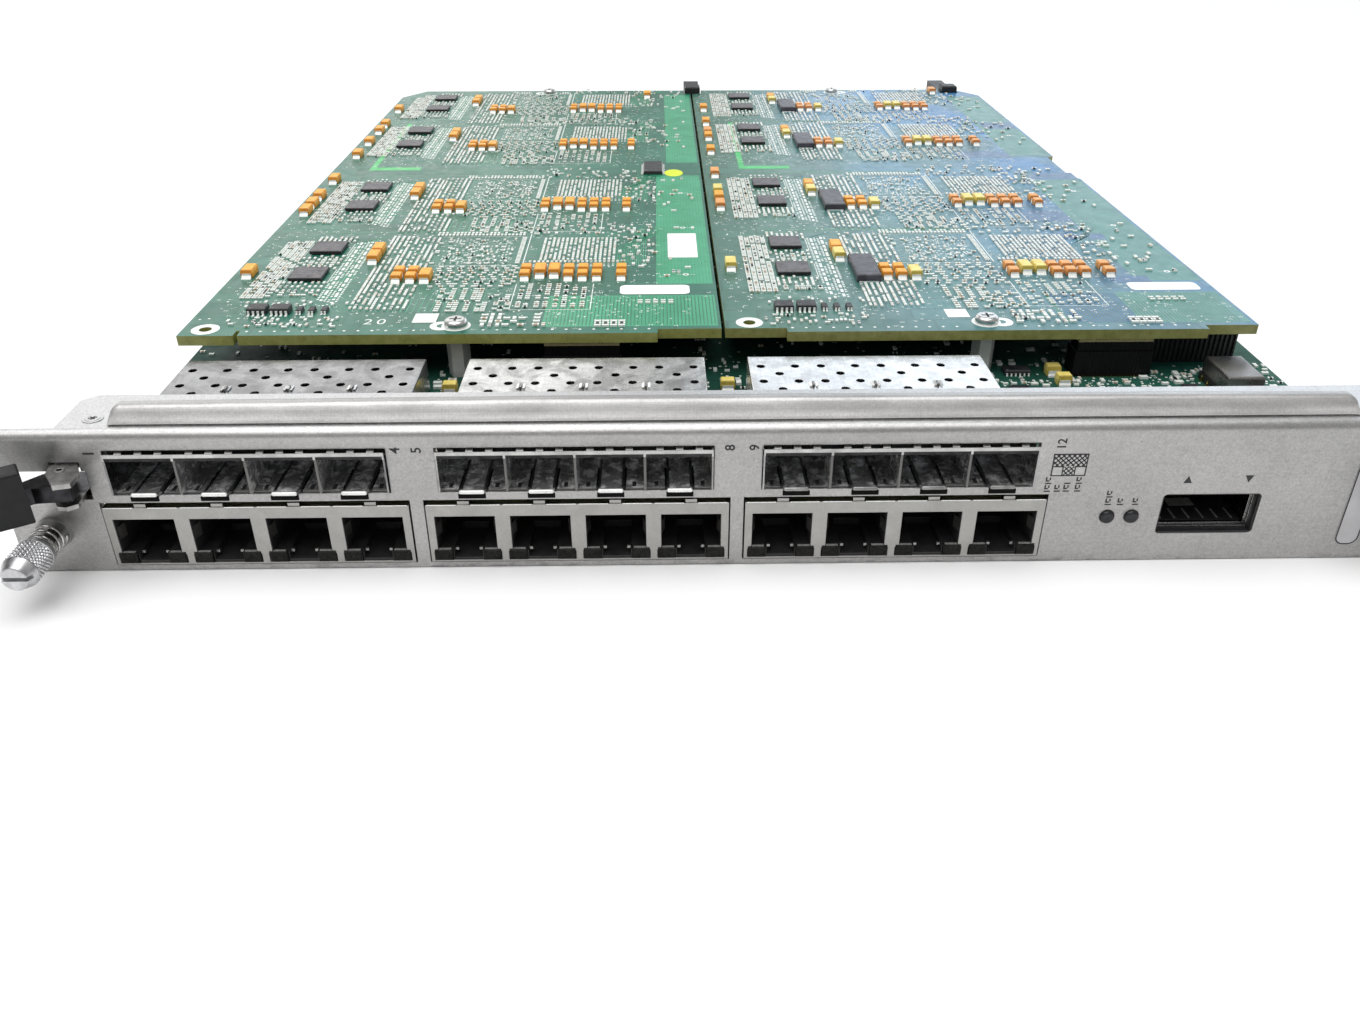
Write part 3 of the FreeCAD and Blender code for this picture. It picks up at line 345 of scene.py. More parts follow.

# one plated tin for all three cages, painted in three tones as the reflection of a bright window to the right, with
# painted shade on their front faces
M["cage_1"] = sheet_metal("tin_cage_dim_reflection", lin(154, 154, 155), (0.16, 0.34), 0.12, reflection_patch=0.20, front=0.8).m
M["cage_2"] = sheet_metal("tin_cage_mid_reflection", lin(199, 199, 197), (0.16, 0.34), 0.12, reflection_patch=0.24, front=0.55).m
M["cage_3"] = sheet_metal("tin_cage_bright_reflection", lin(230, 230, 230), (0.18, 0.34), 0.08, reflection_patch=0.08, front=0.45).m
M["spring_tin"] = sheet_metal("spring_tin", lin(160, 160, 158), (0.36, 0.50), 0.10, 0.06, 0.2).m
M["bright_tin"] = sheet_metal("bright_tin", lin(236, 236, 234), (0.16, 0.26), 0.06, 0.05, 0.2).m
M["jack"] = sheet_metal("jack_shield", lin(164, 163, 160), (0.30, 0.44), 0.08, 0.10, 0.2).m
# painted shade: the front faces of the optics cage are painted nearly black as the shade of its recess
M["xfp"] = sheet_metal("optics_cage", lin(120, 120, 120), (0.20, 0.34), 0.12, 0.10, 0.2, front=0.15).m

# inside of the port cages: thin stamped tin with painted highlights in blotches and painted pools of light in soft
# round spots, painted brighter in the two left groups of ports and darker in the right one, painted shade on the faces
# turned to the front, and a near-black painted shadow on what stands more than a millimetre in front of the faceplate
f = Finish("tin_inner", metal=0.45, spec=0.6)
highlight_blot = f.span(f.noise(2.6, 4.0, 0.62, warp=0.8), 0.50, 0.64)
tone = f.mix(highlight_blot, lin(122, 122, 122), lin(216, 216, 216))
tone = f.mix(f.span(f.cells(6.5), 0.08, 0.24, 0.9, 0.0), tone, lin(250, 250, 250))
tone = f.shade(tone, f.span(f.noise(0.4, 3.0, 0.6), 0.3, 0.7, 0.80, 1.14))
tone = f.shade(tone, f.span(f.axis("X"), -4.0, 2.0, 1.3, 0.85))
front_shade = f.span(f.facing("Y"), -0.8, -0.6, 1.0, 0.0)
tone = f.mix(front_shade, tone, lin(104, 103, 101))
f.colour(f.mix(f.span(f.axis("Y"), FRONT_MM - 1.0, FRONT_MM - 0.8), lin(18, 18, 18), tone))
f.rough(f.span(f.noise(3.0, 4.0, 0.65), 0.3, 0.72, 0.16, 0.36))
f.bump(f.noise(5.0, 2.0, 0.5), 0.6, 0.5, f.round_edges(0.06))
M["tin_in"] = f.m
M["strip_tin"] = sheet_metal("strip_tin", lin(186, 186, 184), (0.30, 0.44), 0.22, 0.06, 0.3).m
# the same tin lip in two tones: bright as lit, darker as painted shade in the right group of ports
M["lip"] = plain("latch_lip", lin(232, 232, 230), lin(246, 246, 244), 2.0, 0.3, (0.24, 0.36), 0.2, 0.05, 0.1, 0.02).m
M["lip_dull"] = plain("latch_lip_dull", lin(120, 120, 119), lin(158, 158, 156), 2.0, 0.6, (0.24, 0.36), 0.2, 0.08, 0.1,
                      0.02).m
M["port_dark"] = plain("port_shade", lin(30, 30, 30), lin(58, 58, 58), 2.2, 0.2, (0.36, 0.52), 0.3, 0.2, 0.15, 0.03,
                       spec=0.25).m
# a near-black sheet standing for the shadow under each latch lip
M["gap_dark"] = plain("latch_gap_shadow", lin(7, 7, 7), lin(14, 14, 14), 1.5, 0.0, (0.6, 0.75), 0.2, 0.2, 0.15, 0.02,
                      spec=0.08).m
# dark steel: the screw neck inside the spring is painted dark as shade so the coils stand out
M["neck"] = plain("neck_steel", lin(56, 56, 56), lin(84, 84, 83), 1.6, 1.0, (0.34, 0.48), 0.2, 0.1, 0.12, 0.02).m

M["black"] = plain("black_plastic", lin(18, 18, 20), lin(30, 30, 32), 3.0, 0.0, (0.38, 0.55), 0.18, 0.15, 0.2, 0.03,
                   0.08).m
M["gold"] = plain("gold_contact", lin(214, 170, 92), lin(236, 200, 124), 1.5, 1.0, (0.18, 0.30), 0.2, 0.06, 0.1, 0.02).m
M["housing"] = plain("jack_housing", lin(30, 30, 31), lin(44, 44, 45), 2.0, 0.0, (0.38, 0.55), 0.18, 0.2, 0.2, 0.03,
                     0.08).m
M["lens"] = plain("lens", lin(12, 12, 11), lin(34, 34, 32), 1.0, 0.0, (0.20, 0.38), 0.3, 0.35, 0.3, 0.06, 0.2,
                  spec=0.12).m
# pale: painted glints on the lens caps and pale marks on the optics port floor
M["pale_mark_and_glint"] = plain("pale_mark_and_glint", lin(110, 110, 108), lin(150, 150, 146), 0.6, 0.0, (0.3, 0.45), 0.1, 0.2, 0.1, 0.01).m
M["light"] = plain("light_lens", lin(22, 23, 24), lin(42, 43, 45), 1.2, 0.0, (0.16, 0.30), 0.2, 0.14, 0.14, 0.03,
                   spec=0.3, coat=0.04).m
M["cream"] = plain("cream_plastic", lin(186, 172, 130), lin(208, 196, 158), 3.0, 0.0, (0.40, 0.55), 0.2, 0.07, 0.15,
                   0.03, 0.08).m

# board-to-board plugs: a cream rim against the upper board over a black body, painted near black also as the shade
# under the upper board
f = Finish("plug_plastic", rough=0.45)
rim = f.span(f.axis("Z"), 27.0, 27.1)
tone = f.mix(rim, lin(12, 12, 13), lin(176, 164, 124))
f.b.inputs["Specular IOR Level"].default_value = 0.2
f.colour(f.shade(tone, f.span(f.noise(0.3, 3.0, 0.6), 0.3, 0.7, 0.86, 1.12)))
f.rough(f.span(f.noise(2.0, 3.0, 0.6), 0.3, 0.7, 0.38, 0.54))
f.bump(f.wave(0.8, "X"), 0.5, 0.12, f.round_edges(0.08))
M["plug"] = f.m
M["steel"] = plain("steel", lin(188, 188, 186), lin(218, 218, 216), 1.4, 1.0, (0.18, 0.34), 0.15, 0.07, 0.15, 0.02,
                   0.08).m
M["standoff"] = plain("standoff_steel", lin(184, 184, 182), lin(202, 202, 200), 6.0, 0.35, (0.36, 0.48), 0.2, 0.04, 0.1,
                      0.02, 0.1).m
M["chip"] = plain("chip_body", lin(34, 34, 37), lin(50, 50, 53), 2.6, 0.0, (0.36, 0.5), 0.12, 0.16, 0.22, 0.02).m
M["chip_mark"] = plain("chip_mark", lin(92, 92, 96), lin(120, 120, 122), 0.8, 0.0, (0.45, 0.6), 0.1, 0.15, 0.1, 0.01).m
M["ferrite"] = plain("ferrite", lin(46, 45, 52), lin(72, 70, 80), 2.4, 0.0, (0.30, 0.46), 0.16, 0.16, 0.3, 0.04).m
M["sink"] = plain("sink_aluminium", lin(150, 152, 154), lin(176, 178, 180), 5.0, 1.0, (0.34, 0.48), 0.3, 0.08, 0.15,
                  0.03, 0.1, stretch=(1, 0.1, 1)).m
M["can"] = plain("can_metal", lin(112, 109, 107), lin(142, 139, 137), 9.0, 0.9, (0.24, 0.34), 0.3, 0.04, 0.1, 0.03,
                 0.25).m
M["grey_plug"] = plain("connector_grey", lin(150, 150, 146), lin(168, 168, 164), 4.0, 0.0, (0.42, 0.56), 0.25, 0.06,
                       0.15, 0.03, 0.1).m

# ejector bracket: bright plated ears in front of the faceplate; its wall behind the faceplate is painted dark as shade
f = Finish("bracket_steel", metal=1.0)
tone = f.mix(f.span(f.noise(2.6, 3.0, 0.55), 0.32, 0.68), lin(142, 141, 139), lin(180, 179, 177))
tone = f.shade(tone, f.span(f.noise(0.25, 3.0, 0.6), 0.25, 0.75, 0.88, 1.10))
f.colour(f.mix(f.span(f.axis("Y"), FRONT_MM - 0.5, FRONT_MM + 0.4), tone, lin(66, 66, 68)))
f.rough(f.span(f.noise(1.6, 3.0, 0.6), 0.3, 0.7, 0.24, 0.42))
f.bump(f.noise(0.25, 3.0, 0.6), 0.16, 0.03, f.round_edges(0.12))
M["bracket"] = f.m

M["lever"] = plain("lever_metal", lin(34, 34, 36), lin(62, 62, 64), 2.4, 0.9, (0.26, 0.40), 0.22, 0.14, 0.2, 0.03,
                   0.18).m
M["grip"] = plain("grip_plastic", lin(15, 15, 17), lin(25, 25, 28), 5.0, 0.0, (0.36, 0.50), 0.22, 0.12, 0.22, 0.03,
                  0.25, spec=0.3).m
M["knob"] = plain("knob_steel", lin(176, 176, 178), lin(208, 208, 209), 2.0, 1.0, (0.28, 0.40), 0.2, 0.10, 0.12, 0.02).m
M["spring"] = plain("spring_steel", lin(150, 148, 146), lin(206, 204, 202), 1.0, 1.0, (0.14, 0.26), 0.12, 0.08, 0.1,
                    0.01).m
M["brick"] = plain("module_case", lin(26, 26, 28), lin(40, 40, 42), 6.0, 0.0, (0.4, 0.55), 0.4, 0.14, 0.25, 0.04, 0.2).m


def mask_over(name, a, b, pitch):
    """Mask over a copper plane: a faint etched mesh shows through it."""
    f = Finish(name, spec=0.5)
    tone = f.mix(f.span(f.noise(7.0, 3.0, 0.55), 0.32, 0.68), a, b)
    mesh = f.calc("MINIMUM", f.span(f.wave(pitch, "X"), 0.05, 0.35, 0.80, 1.05),
                  f.span(f.wave(pitch, "Y"), 0.05, 0.35, 0.80, 1.05))
    f.colour(f.shade(tone, mesh))
    f.rough(f.span(f.noise(3.0, 3.0, 0.6), 0.3, 0.7, 0.26, 0.38))
    f.bump(mesh, 0.15, 0.03)
    return f.m


# inks, pads and small parts
M["ink"] = plain("print_white", lin(214, 220, 214), lin(238, 242, 238), 0.7, 0.0, (0.5, 0.65), 0.12, 0.06, 0.1, 0.01).m
M["ink_black"] = plain("print_black", lin(24, 24, 26), lin(40, 40, 42), 0.6, 0.0, (0.45, 0.6), 0.12, 0.14, 0.1, 0.01).m
M["paper"] = plain("paper_label", lin(240, 240, 238), lin(250, 250, 249), 3.0, 0.0, (0.5, 0.65), 0.15, 0.015, 0.08,
                   0.01).m
M["solder"] = plain("solder", lin(222, 226, 220), lin(244, 245, 242), 0.5, 0.15, (0.22, 0.38), 0.12, 0.05, 0.12, 0.01).m
M["legend"] = plain("print_pale", lin(176, 176, 175), lin(196, 196, 195), 0.8, 0.0, (0.5, 0.65), 0.12, 0.06, 0.1, 0.01).m
M["track"] = mask_over("mask_over_copper", lin(50, 150, 108), lin(66, 166, 124), 0.95)
M["track_b"] = mask_over("mask_over_copper_b", lin(54, 118, 112), lin(72, 136, 130), 0.95)
M["track_pale"] = plain("mask_over_tin", lin(150, 196, 172), lin(190, 222, 204), 2.0, 0.1, (0.24, 0.36), 0.25, 0.06,
                        0.1, 0.02, spec=0.55).m
M["clear"] = plain("bare_laminate", lin(38, 168, 82), lin(58, 194, 106), 5.0, 0.0, (0.26, 0.38), 0.4, 0.06, 0.1, 0.02,
                   spec=0.5).m
M["dark_mask"] = plain("mask_bare", lin(26, 98, 72), lin(40, 116, 88), 5.0, 0.0, (0.24, 0.36), 0.4, 0.06, 0.1, 0.02,
                       spec=0.5).m
M["dark_b"] = plain("mask_bare_b", lin(38, 84, 120), lin(52, 100, 142), 5.0, 0.0, (0.24, 0.36), 0.4, 0.06, 0.1, 0.02,
                    spec=0.5).m
M["part_tan"] = plain("part_tan", lin(168, 150, 124), lin(200, 184, 160), 0.8, 0.0, (0.4, 0.55), 0.1, 0.1, 0.1, 0.01).m
M["part_dark"] = plain("part_dark", lin(30, 30, 32), lin(48, 48, 50), 0.8, 0.0, (0.35, 0.5), 0.1, 0.14, 0.1, 0.01).m
M["part_grey"] = plain("part_grey", lin(206, 214, 206), lin(236, 240, 234), 0.8, 0.0, (0.4, 0.55), 0.1, 0.08, 0.1, 0.01).m
M["tantalum"] = plain("tantalum_body", lin(236, 156, 26), lin(246, 178, 48), 1.6, 0.0, (0.32, 0.46), 0.12, 0.07, 0.16,
                      0.02).m
M["tantalum_red"] = plain("tantalum_body_b", lin(222, 148, 70), lin(236, 172, 100), 1.6, 0.0, (0.32, 0.46), 0.12, 0.07,
                          0.16, 0.02).m
M["tantalum_pale"] = plain("tantalum_body_c", lin(218, 196, 96), lin(238, 220, 132), 1.6, 0.0, (0.32, 0.46), 0.12, 0.06,
                           0.16, 0.02).m
# darker copies of the three mouldings for the capacitor end faces: painted shade
M["tantalum_dark"] = plain("tantalum_end", lin(196, 122, 22), lin(216, 140, 38), 0.8, 0.0, (0.4, 0.55), 0.1, 0.1, 0.1,
                           0.01).m
M["tantalum_dark_red"] = plain("tantalum_end_b", lin(176, 108, 46), lin(198, 126, 62), 0.8, 0.0, (0.4, 0.55), 0.1, 0.1, 0.1,
                               0.01).m
M["tantalum_dark_pale"] = plain("tantalum_end_c", lin(170, 150, 58), lin(192, 172, 80), 0.8, 0.0, (0.4, 0.55), 0.1, 0.1,
                                0.1, 0.01).m

# moulded memory packages: tops painted paler as a sheen of the overhead light, dark sides
f = Finish("memory_body", rough=0.45)
tone = f.mix(f.span(f.noise(2.2, 4.0, 0.6), 0.34, 0.66), lin(66, 63, 66), lin(98, 94, 96))
tone = f.mix(f.span(f.facing("Z"), 0.6, 0.9), lin(26, 26, 28), tone)
f.colour(f.shade(tone, f.span(f.noise(0.14, 3.0, 0.6), 0.25, 0.75, 0.84, 1.16)))
f.rough(f.span(f.noise(1.8, 3.0, 0.6), 0.3, 0.7, 0.34, 0.50))
f.bump(f.noise(0.14, 3.0, 0.6), 0.22, 0.02)
M["memory"] = f.m
M["dot"] = plain("dot_label", lin(206, 226, 20), lin(224, 238, 60), 1.8, 0.0, (0.4, 0.55), 0.15, 0.04, 0.08, 0.01).m


def paint(name, *which):
    for w in which:
        o = nodes[w]
        o.data.materials.clear()
        o.data.materials.append(M[name])


# ---------------------------------------------------------------- mesh helpers
class Shape:
    """Closed bits of mesh that become one piece."""

    def __init__(self):
        self.v, self.f, self.m, self.s = [], [], [], []

    def put(self, verts, faces, mat=0, smooth=False):
        k = len(self.v)
        self.v += verts
        self.f += [tuple(i + k for i in face) for face in faces]
        self.m += [mat] * len(faces)
        self.s += [smooth] * len(faces)

    def box(self, x0, x1, y0, y1, z0, z1, mat=0):
        self.put([(x0, y0, z0), (x1, y0, z0), (x1, y1, z0), (x0, y1, z0), (x0, y0, z1), (x1, y0, z1), (x1, y1, z1),
                  (x0, y1, z1)],
                 [(3, 2, 1, 0), (4, 5, 6, 7), (0, 1, 5, 4), (1, 2, 6, 5), (2, 3, 7, 6), (3, 0, 4, 7)], mat)

    def block(self, x0, x1, y0, y1, z0, z1, c=0.2, mat=0, draft=0.0):
        """A moulded block: slightly tapered sides and bevelled upper edges."""
        d = draft
        rings = [(x0, x1, y0, y1, z0), (x0 + d, x1 - d, y0 + d, y1 - d, z1 - c),
                 (x0 + d + c, x1 - d - c, y0 + d + c, y1 - d - c, z1)]
        v = []
        for a, b, e, g, z in rings:
            v += [(a, e, z), (b, e, z), (b, g, z), (a, g, z)]
        faces = [(3, 2, 1, 0), (8, 9, 10, 11)]
        for r in (0, 4):
            for i in range(4):
                j = (i + 1) % 4
                faces.append((r + i, r + j, r + 4 + j, r + 4 + i))
        self.put(v, faces, mat)

    def prism(self, pts, z0, z1, mat=0):
        n = len(pts)
        v = [(x, y, z0) for x, y in pts] + [(x, y, z1) for x, y in pts]
        faces = [tuple(reversed(range(n))), tuple(range(n, 2 * n))]
        faces += [(i, (i + 1) % n, n + (i + 1) % n, n + i) for i in range(n)]
        self.put(v, faces, mat)

    def along_x(self, pts, x0, x1, mat=0):
        """A closed outline of (y, z) points, anticlockwise seen from +x, drawn out along x."""
        n = len(pts)
        v = [(x0, y, z) for y, z in pts] + [(x1, y, z) for y, z in pts]
        faces = [tuple(reversed(range(n))), tuple(range(n, 2 * n))]
        faces += [(i, (i + 1) % n, n + (i + 1) % n, n + i) for i in range(n)]
        self.put(v, faces, mat)

    def disc(self, x, y, r, z0, z1, n=6, mat=0, ry=None):
        ry = r if ry is None else ry
        self.prism([(x + r * math.cos(2 * math.pi * i / n), y + ry * math.sin(2 * math.pi * i / n)) for i in range(n)],
                   z0, z1, mat)

    def ring(self, x, y, r0, r1, z0, z1, n=32, mat=0):
        v, faces = [], []
        for z in (z0, z1):
            for r in (r0, r1):
                v += [(x + r * math.cos(2 * math.pi * i / n), y + r * math.sin(2 * math.pi * i / n), z)
                      for i in range(n)]
        for i in range(n):
            j = (i + 1) % n
            faces += [(2 * n + i, 3 * n + i, 3 * n + j, 2 * n + j), (i, j, n + j, n + i),
                      (n + i, n + j, 3 * n + j, 3 * n + i), (j, i, 2 * n + i, 2 * n + j)]
        self.put(v, faces, mat)

    def bar(self, xa, ya, xb, yb, w, z0, z1, mat=0):
        dx, dy = xb - xa, yb - ya
        k = w / 2 / max(1e-9, math.hypot(dx, dy))
        nx, ny = -dy * k, dx * k
        self.prism([(xa - nx, ya - ny), (xb - nx, yb - ny), (xb + nx, yb + ny), (xa + nx, ya + ny)], z0, z1, mat)

    def rounded(self, x0, x1, y0, y1, r, z0, z1, mat=0, n=5):
        pts = []
        for cx, cy, a0 in ((x1 - r, y1 - r, 0), (x0 + r, y1 - r, 90), (x0 + r, y0 + r, 180), (x1 - r, y0 + r, 270)):
            for i in range(n + 1):
                a = math.radians(a0 + 90 * i / n)
                pts.append((cx + r * math.cos(a), cy + r * math.sin(a)))
        self.prism(pts, z0, z1, mat)


def piece(shape, name, mats, body="root", stands_for=()):
    me = bpy.data.meshes.new(name)
    co = np.array(shape.v, float) * MM
    co[:, 1] += FRONT
    me.from_pydata(co.tolist(), [], shape.f)
    for m in mats:
        me.materials.append(m)
    me.polygons.foreach_set("material_index", shape.m)
    me.polygons.foreach_set("use_smooth", shape.s)
    me.update()
    ob = bpy.data.objects.new(name, me)
    bpy.context.scene.collection.objects.link(ob)
    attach(ob, body)
    if stands_for:
        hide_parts(*stands_for)
    return ob


def figures(text, height, depth=0.05, bold=0.0):
    """The outline of a few digits as a mesh in millimetres: x to the right, y up, centred."""
    cu = bpy.data.curves.new("figures", "FONT")
    cu.offset = bold
    cu.body = text
    cu.align_x = "CENTER"
    cu.align_y = "CENTER"
    cu.size = 1.0
    cu.extrude = 0.5
    ob = bpy.data.objects.new("figures", cu)
    bpy.context.scene.collection.objects.link(ob)
    bpy.context.view_layer.update()
    me = bpy.data.meshes.new_from_object(ob.evaluated_get(bpy.context.evaluated_depsgraph_get()))
    co = np.array([v.co for v in me.vertices], float)
    faces = [tuple(p.vertices) for p in me.polygons]
    bpy.data.objects.remove(ob)
    bpy.data.curves.remove(cu)
    bpy.data.meshes.remove(me)
    lo, hi = co.min(0), co.max(0)
    k = height / (hi[1] - lo[1])
    co[:, :2] = (co[:, :2] - (lo[:2] + hi[:2]) / 2) * k
    co[:, 2] = co[:, 2] / max(1e-9, hi[2] - lo[2]) * depth
    return co, faces


# ---------------------------------------------------- finishes of the CAD nodes
paint("face", "faceplate")
paint("label", "label_plate")
paint("main", "main_board")
paint("upper_left", "left_upper_board")
paint("upper_right", "right_upper_board")
paint("steel", "board_screws", "left_pivot_pin", "right_pivot_pin")
paint("standoff", "standoffs")
for k in (1, 2, 3):
    paint("cage_%d" % k, "sfp_cage_%d" % k)
    paint("jack", "rj45_shield_%d" % k)
    paint("housing", "rj45_housing_%d" % k)
paint("tin_in", "sfp_cage_dividers", "sfp_cage_floors")
paint("spring_tin", "sfp_spring_fingers")
paint("black", "sfp_host_connectors", "xfp_connector", "power_connector", "guide_sockets", "oscillator_base")
paint("lens", "rj45_led_lenses")
paint("gold", "rj45_contacts")
paint("xfp", "xfp_cage")
paint("light", "status_lights")
paint("plug", "mezzanine_plugs", "mezzanine_sockets")
paint("grey_plug", "backplane_connectors")
paint("chip", "processors")
paint("sink", "heat_sinks")
paint("can", "oscillator_can")
paint("brick", "power_modules")
for s in ("left", "right"):
    paint("bracket", s + "_ejector_bracket")
    paint("lever", s + "_ejector_lever")
    paint("grip", s + "_ejector_grip")
    paint("spring_tin", s + "_thumbscrew_ferrule")
    paint("steel", s + "_slip_washer")

# -------------------------------------------------------------- upper boards
TOP = 30.7
LEFT_ROWS = (92.5, 158.4, 241.4, 307.7)
RIGHT_ROWS = (92.8, 160.6, 244.0, 310.2)
LEFT_MEM = (92.3, 115.2, 158.7, 181.1, 243.1, 266.5, 309.3, 332.0)
RIGHT_MEM = (94.8, 117.8, 161.8, 184.3, 246.6, 269.4, 310.6, 333.6)


class Room:
    """Keeps small parts from standing on each other."""

    def __init__(self, x0, x1, y0, y1, step=0.2):
        self.x0, self.y0, self.step = x0, y0, step
        self.g = np.zeros((int((x1 - x0) / step) + 2, int((y1 - y0) / step) + 2), bool)

    def cells(self, x0, x1, y0, y1):
        s = self.step
        return (slice(max(0, int((x0 - self.x0) / s)), max(0, int((x1 - self.x0) / s) + 1)),
                slice(max(0, int((y0 - self.y0) / s)), max(0, int((y1 - self.y0) / s) + 1)))

    def take(self, x0, x1, y0, y1):
        self.g[self.cells(x0, x1, y0, y1)] = True

    def claim(self, x0, x1, y0, y1):
        c = self.cells(x0, x1, y0, y1)
        if self.g[c].any() or not self.g[c].size:
            return False
        self.g[c] = True
        return True


SIZES = {"02": (1.3, 0.72, 0.42), "03": (1.7, 0.95, 0.52), "05": (2.1, 1.3, 0.65)}


class Populate:
    """Small parts, pads, print and tracks on one face of a board."""

    def __init__(self, room, z, up=1):
        self.room, self.z, self.up = room, z, up
        self.parts, self.pads, self.print, self.tracks = Shape(), Shape(), Shape(), Shape()

    def lift(self, a, b):
        """Heights a..b above the board's face, sunk a little so that nothing floats."""
        if self.up > 0:
            return self.z + a - (0.01 if a == 0 else 0), self.z + b
        return self.z - b, self.z - a + (0.01 if a == 0 else 0)

    def dash(self, x, y, wide, deep, gap=0.06):
        """A small bare pad."""
        if self.room.claim(x - wide / 2 - gap, x + wide / 2 + gap, y - deep / 2 - gap, y + deep / 2 + gap):
            z0, z1 = self.lift(0, 0.06)
            self.pads.box(x - wide / 2, x + wide / 2, y - deep / 2, y + deep / 2, z0, z1)

    def smd(self, x, y, turn, size="02", mat=None, gap=0.07):
        L, W, H = SIZES[size]
        hx, hy = (L / 2, W / 2) if not turn else (W / 2, L / 2)
        if not self.room.claim(x - hx - gap, x + hx + gap, y - hy - gap, y + hy + gap):
            return False
        mat = dice.choice((3, 3, 3, 3, 3, 3, 1, 1, 2)) if mat is None else mat
        z0, z1 = self.lift(0, H)
        e = L * 0.26
        s = 0.03
        b0, b1 = self.lift(0.02, H - s)
        if not turn:
            self.parts.box(x - hx, x - hx + e, y - hy, y + hy, z0, z1, 0)
            self.parts.box(x + hx - e, x + hx, y - hy, y + hy, z0, z1, 0)
            self.parts.box(x - hx + e, x + hx - e, y - hy + s, y + hy - s, b0, b1, mat)
        else:
            self.parts.box(x - hx, x + hx, y - hy, y - hy + e, z0, z1, 0)
            self.parts.box(x - hx, x + hx, y + hy - e, y + hy, z0, z1, 0)
            self.parts.box(x - hx + s, x + hx - s, y - hy + e, y + hy - e, b0, b1, mat)
        return True

    def via(self, x, y, r=0.32, mat=0):
        if self.room.claim(x - r, x + r, y - r, y + r):
            z0, z1 = self.lift(0, 0.05)
            self.pads.disc(x, y, r, z0, z1, 6, mat)

    def pad(self, x0, x1, y0, y1, mat=0):
        z0, z1 = self.lift(0, 0.05)
        self.pads.box(x0, x1, y0, y1, z0, z1, mat)

    def line(self, xa, ya, xb, yb, w=0.2, mat=0):
        z0, z1 = self.lift(0, 0.035)
        self.print.bar(xa, ya, xb, yb, w, z0, z1, mat)

    def mark(self, x, y):
        """A part's tiny printed tag: two or three unreadable strokes."""
        if not self.room.claim(x - 0.6, x + 0.6, y - 0.45, y + 0.45):
            return
        z0, z1 = self.lift(0, 0.035)
        for i in range(dice.choice((2, 3, 3))):
            a = x - 0.5 + 0.42 * i
            if dice.random() < 0.55:
                self.print.box(a, a + 0.15, y - 0.36, y + 0.36, z0, z1)
            else:
                b = y + dice.choice((-0.3, 0.0, 0.3))
                self.print.box(a, a + 0.34, b - 0.08, b + 0.08, z0, z1)

    def track(self, pts, w=0.22, mat=0, h=0.022):
        z0, z1 = self.lift(0, h)
        for (xa, ya), (xb, yb) in zip(pts, pts[1:]):
            self.tracks.bar(xa, ya, xb, yb, w, z0, z1, mat)

    def pour(self, x0, x1, y0, y1, mat=0, h=0.012):
        z0, z1 = self.lift(0, h)
        self.tracks.box(x0, x1, y0, y1, z0, z1, mat)


def cap_list(sx, rows, side):
    """Every moulded capacitor on an upper board: x, front y, width, depth, height, tone, length of its front land."""
    out = []
    usual, pale = (1, 2) if side else (0, 0)

    def long(x, y, tone, deep=6.0):
        out.append((x, y + 1.3, 3.2, deep, 2.4, tone, 0.95))

    def pair(x, y, tone):
        out.append((x, y + 1.5, 2.9, 3.5, 2.1, tone, 1.05))
        out.append((x, y + 6.5, 2.9, 3.5, 2.1, tone, 0.7))

    for ry in rows:
        for i, (x, dy) in enumerate(((-53.6, 0.2), (-49.6, 2.4), (-45.7, 2.4), (-41.7, 0.0), (-37.8, 0.0),
                                     (-33.9, 0.1))):
            if i in (1, 2):
                long(x + sx, ry + dy, pale)
            else:
                pair(x + sx, ry + dy, usual)
        if ry < 300:
            pair(-27.2 + sx, ry, usual)
        for i, x in enumerate((-88.4, -84.5, -80.6)):
            x += sx - (0.4 if side else 0.0)
            if i == 2:
                long(x, ry - 1.2, pale)
            else:
                pair(x, ry - 1.2, usual if ry > 200 else 0)
        single = -99.8 + sx if side else -98.0
        long(single, ry + 14.8, pale)
        long(single, ry + 21.6, 0)
    if side:
        long(111.4, 345.0, 1, 5.4)
        for i, y in enumerate((99.6, 158.4, 168.0, 176.2, 198.6, 232.4, 255.0, 263.0, 281.2, 309.0)):
            long(3.3, y, 2 if i in (0, 3) else (1 if i % 3 == 1 else 0))
    else:
        long(-21.6, 338.2, 0)
        for y in (95.7, 154.6, 162.6, 172.1, 192.5, 228.5, 248.8, 267.8, 279.5, 308.6):
            long(-129.8, y, 0)
    return out


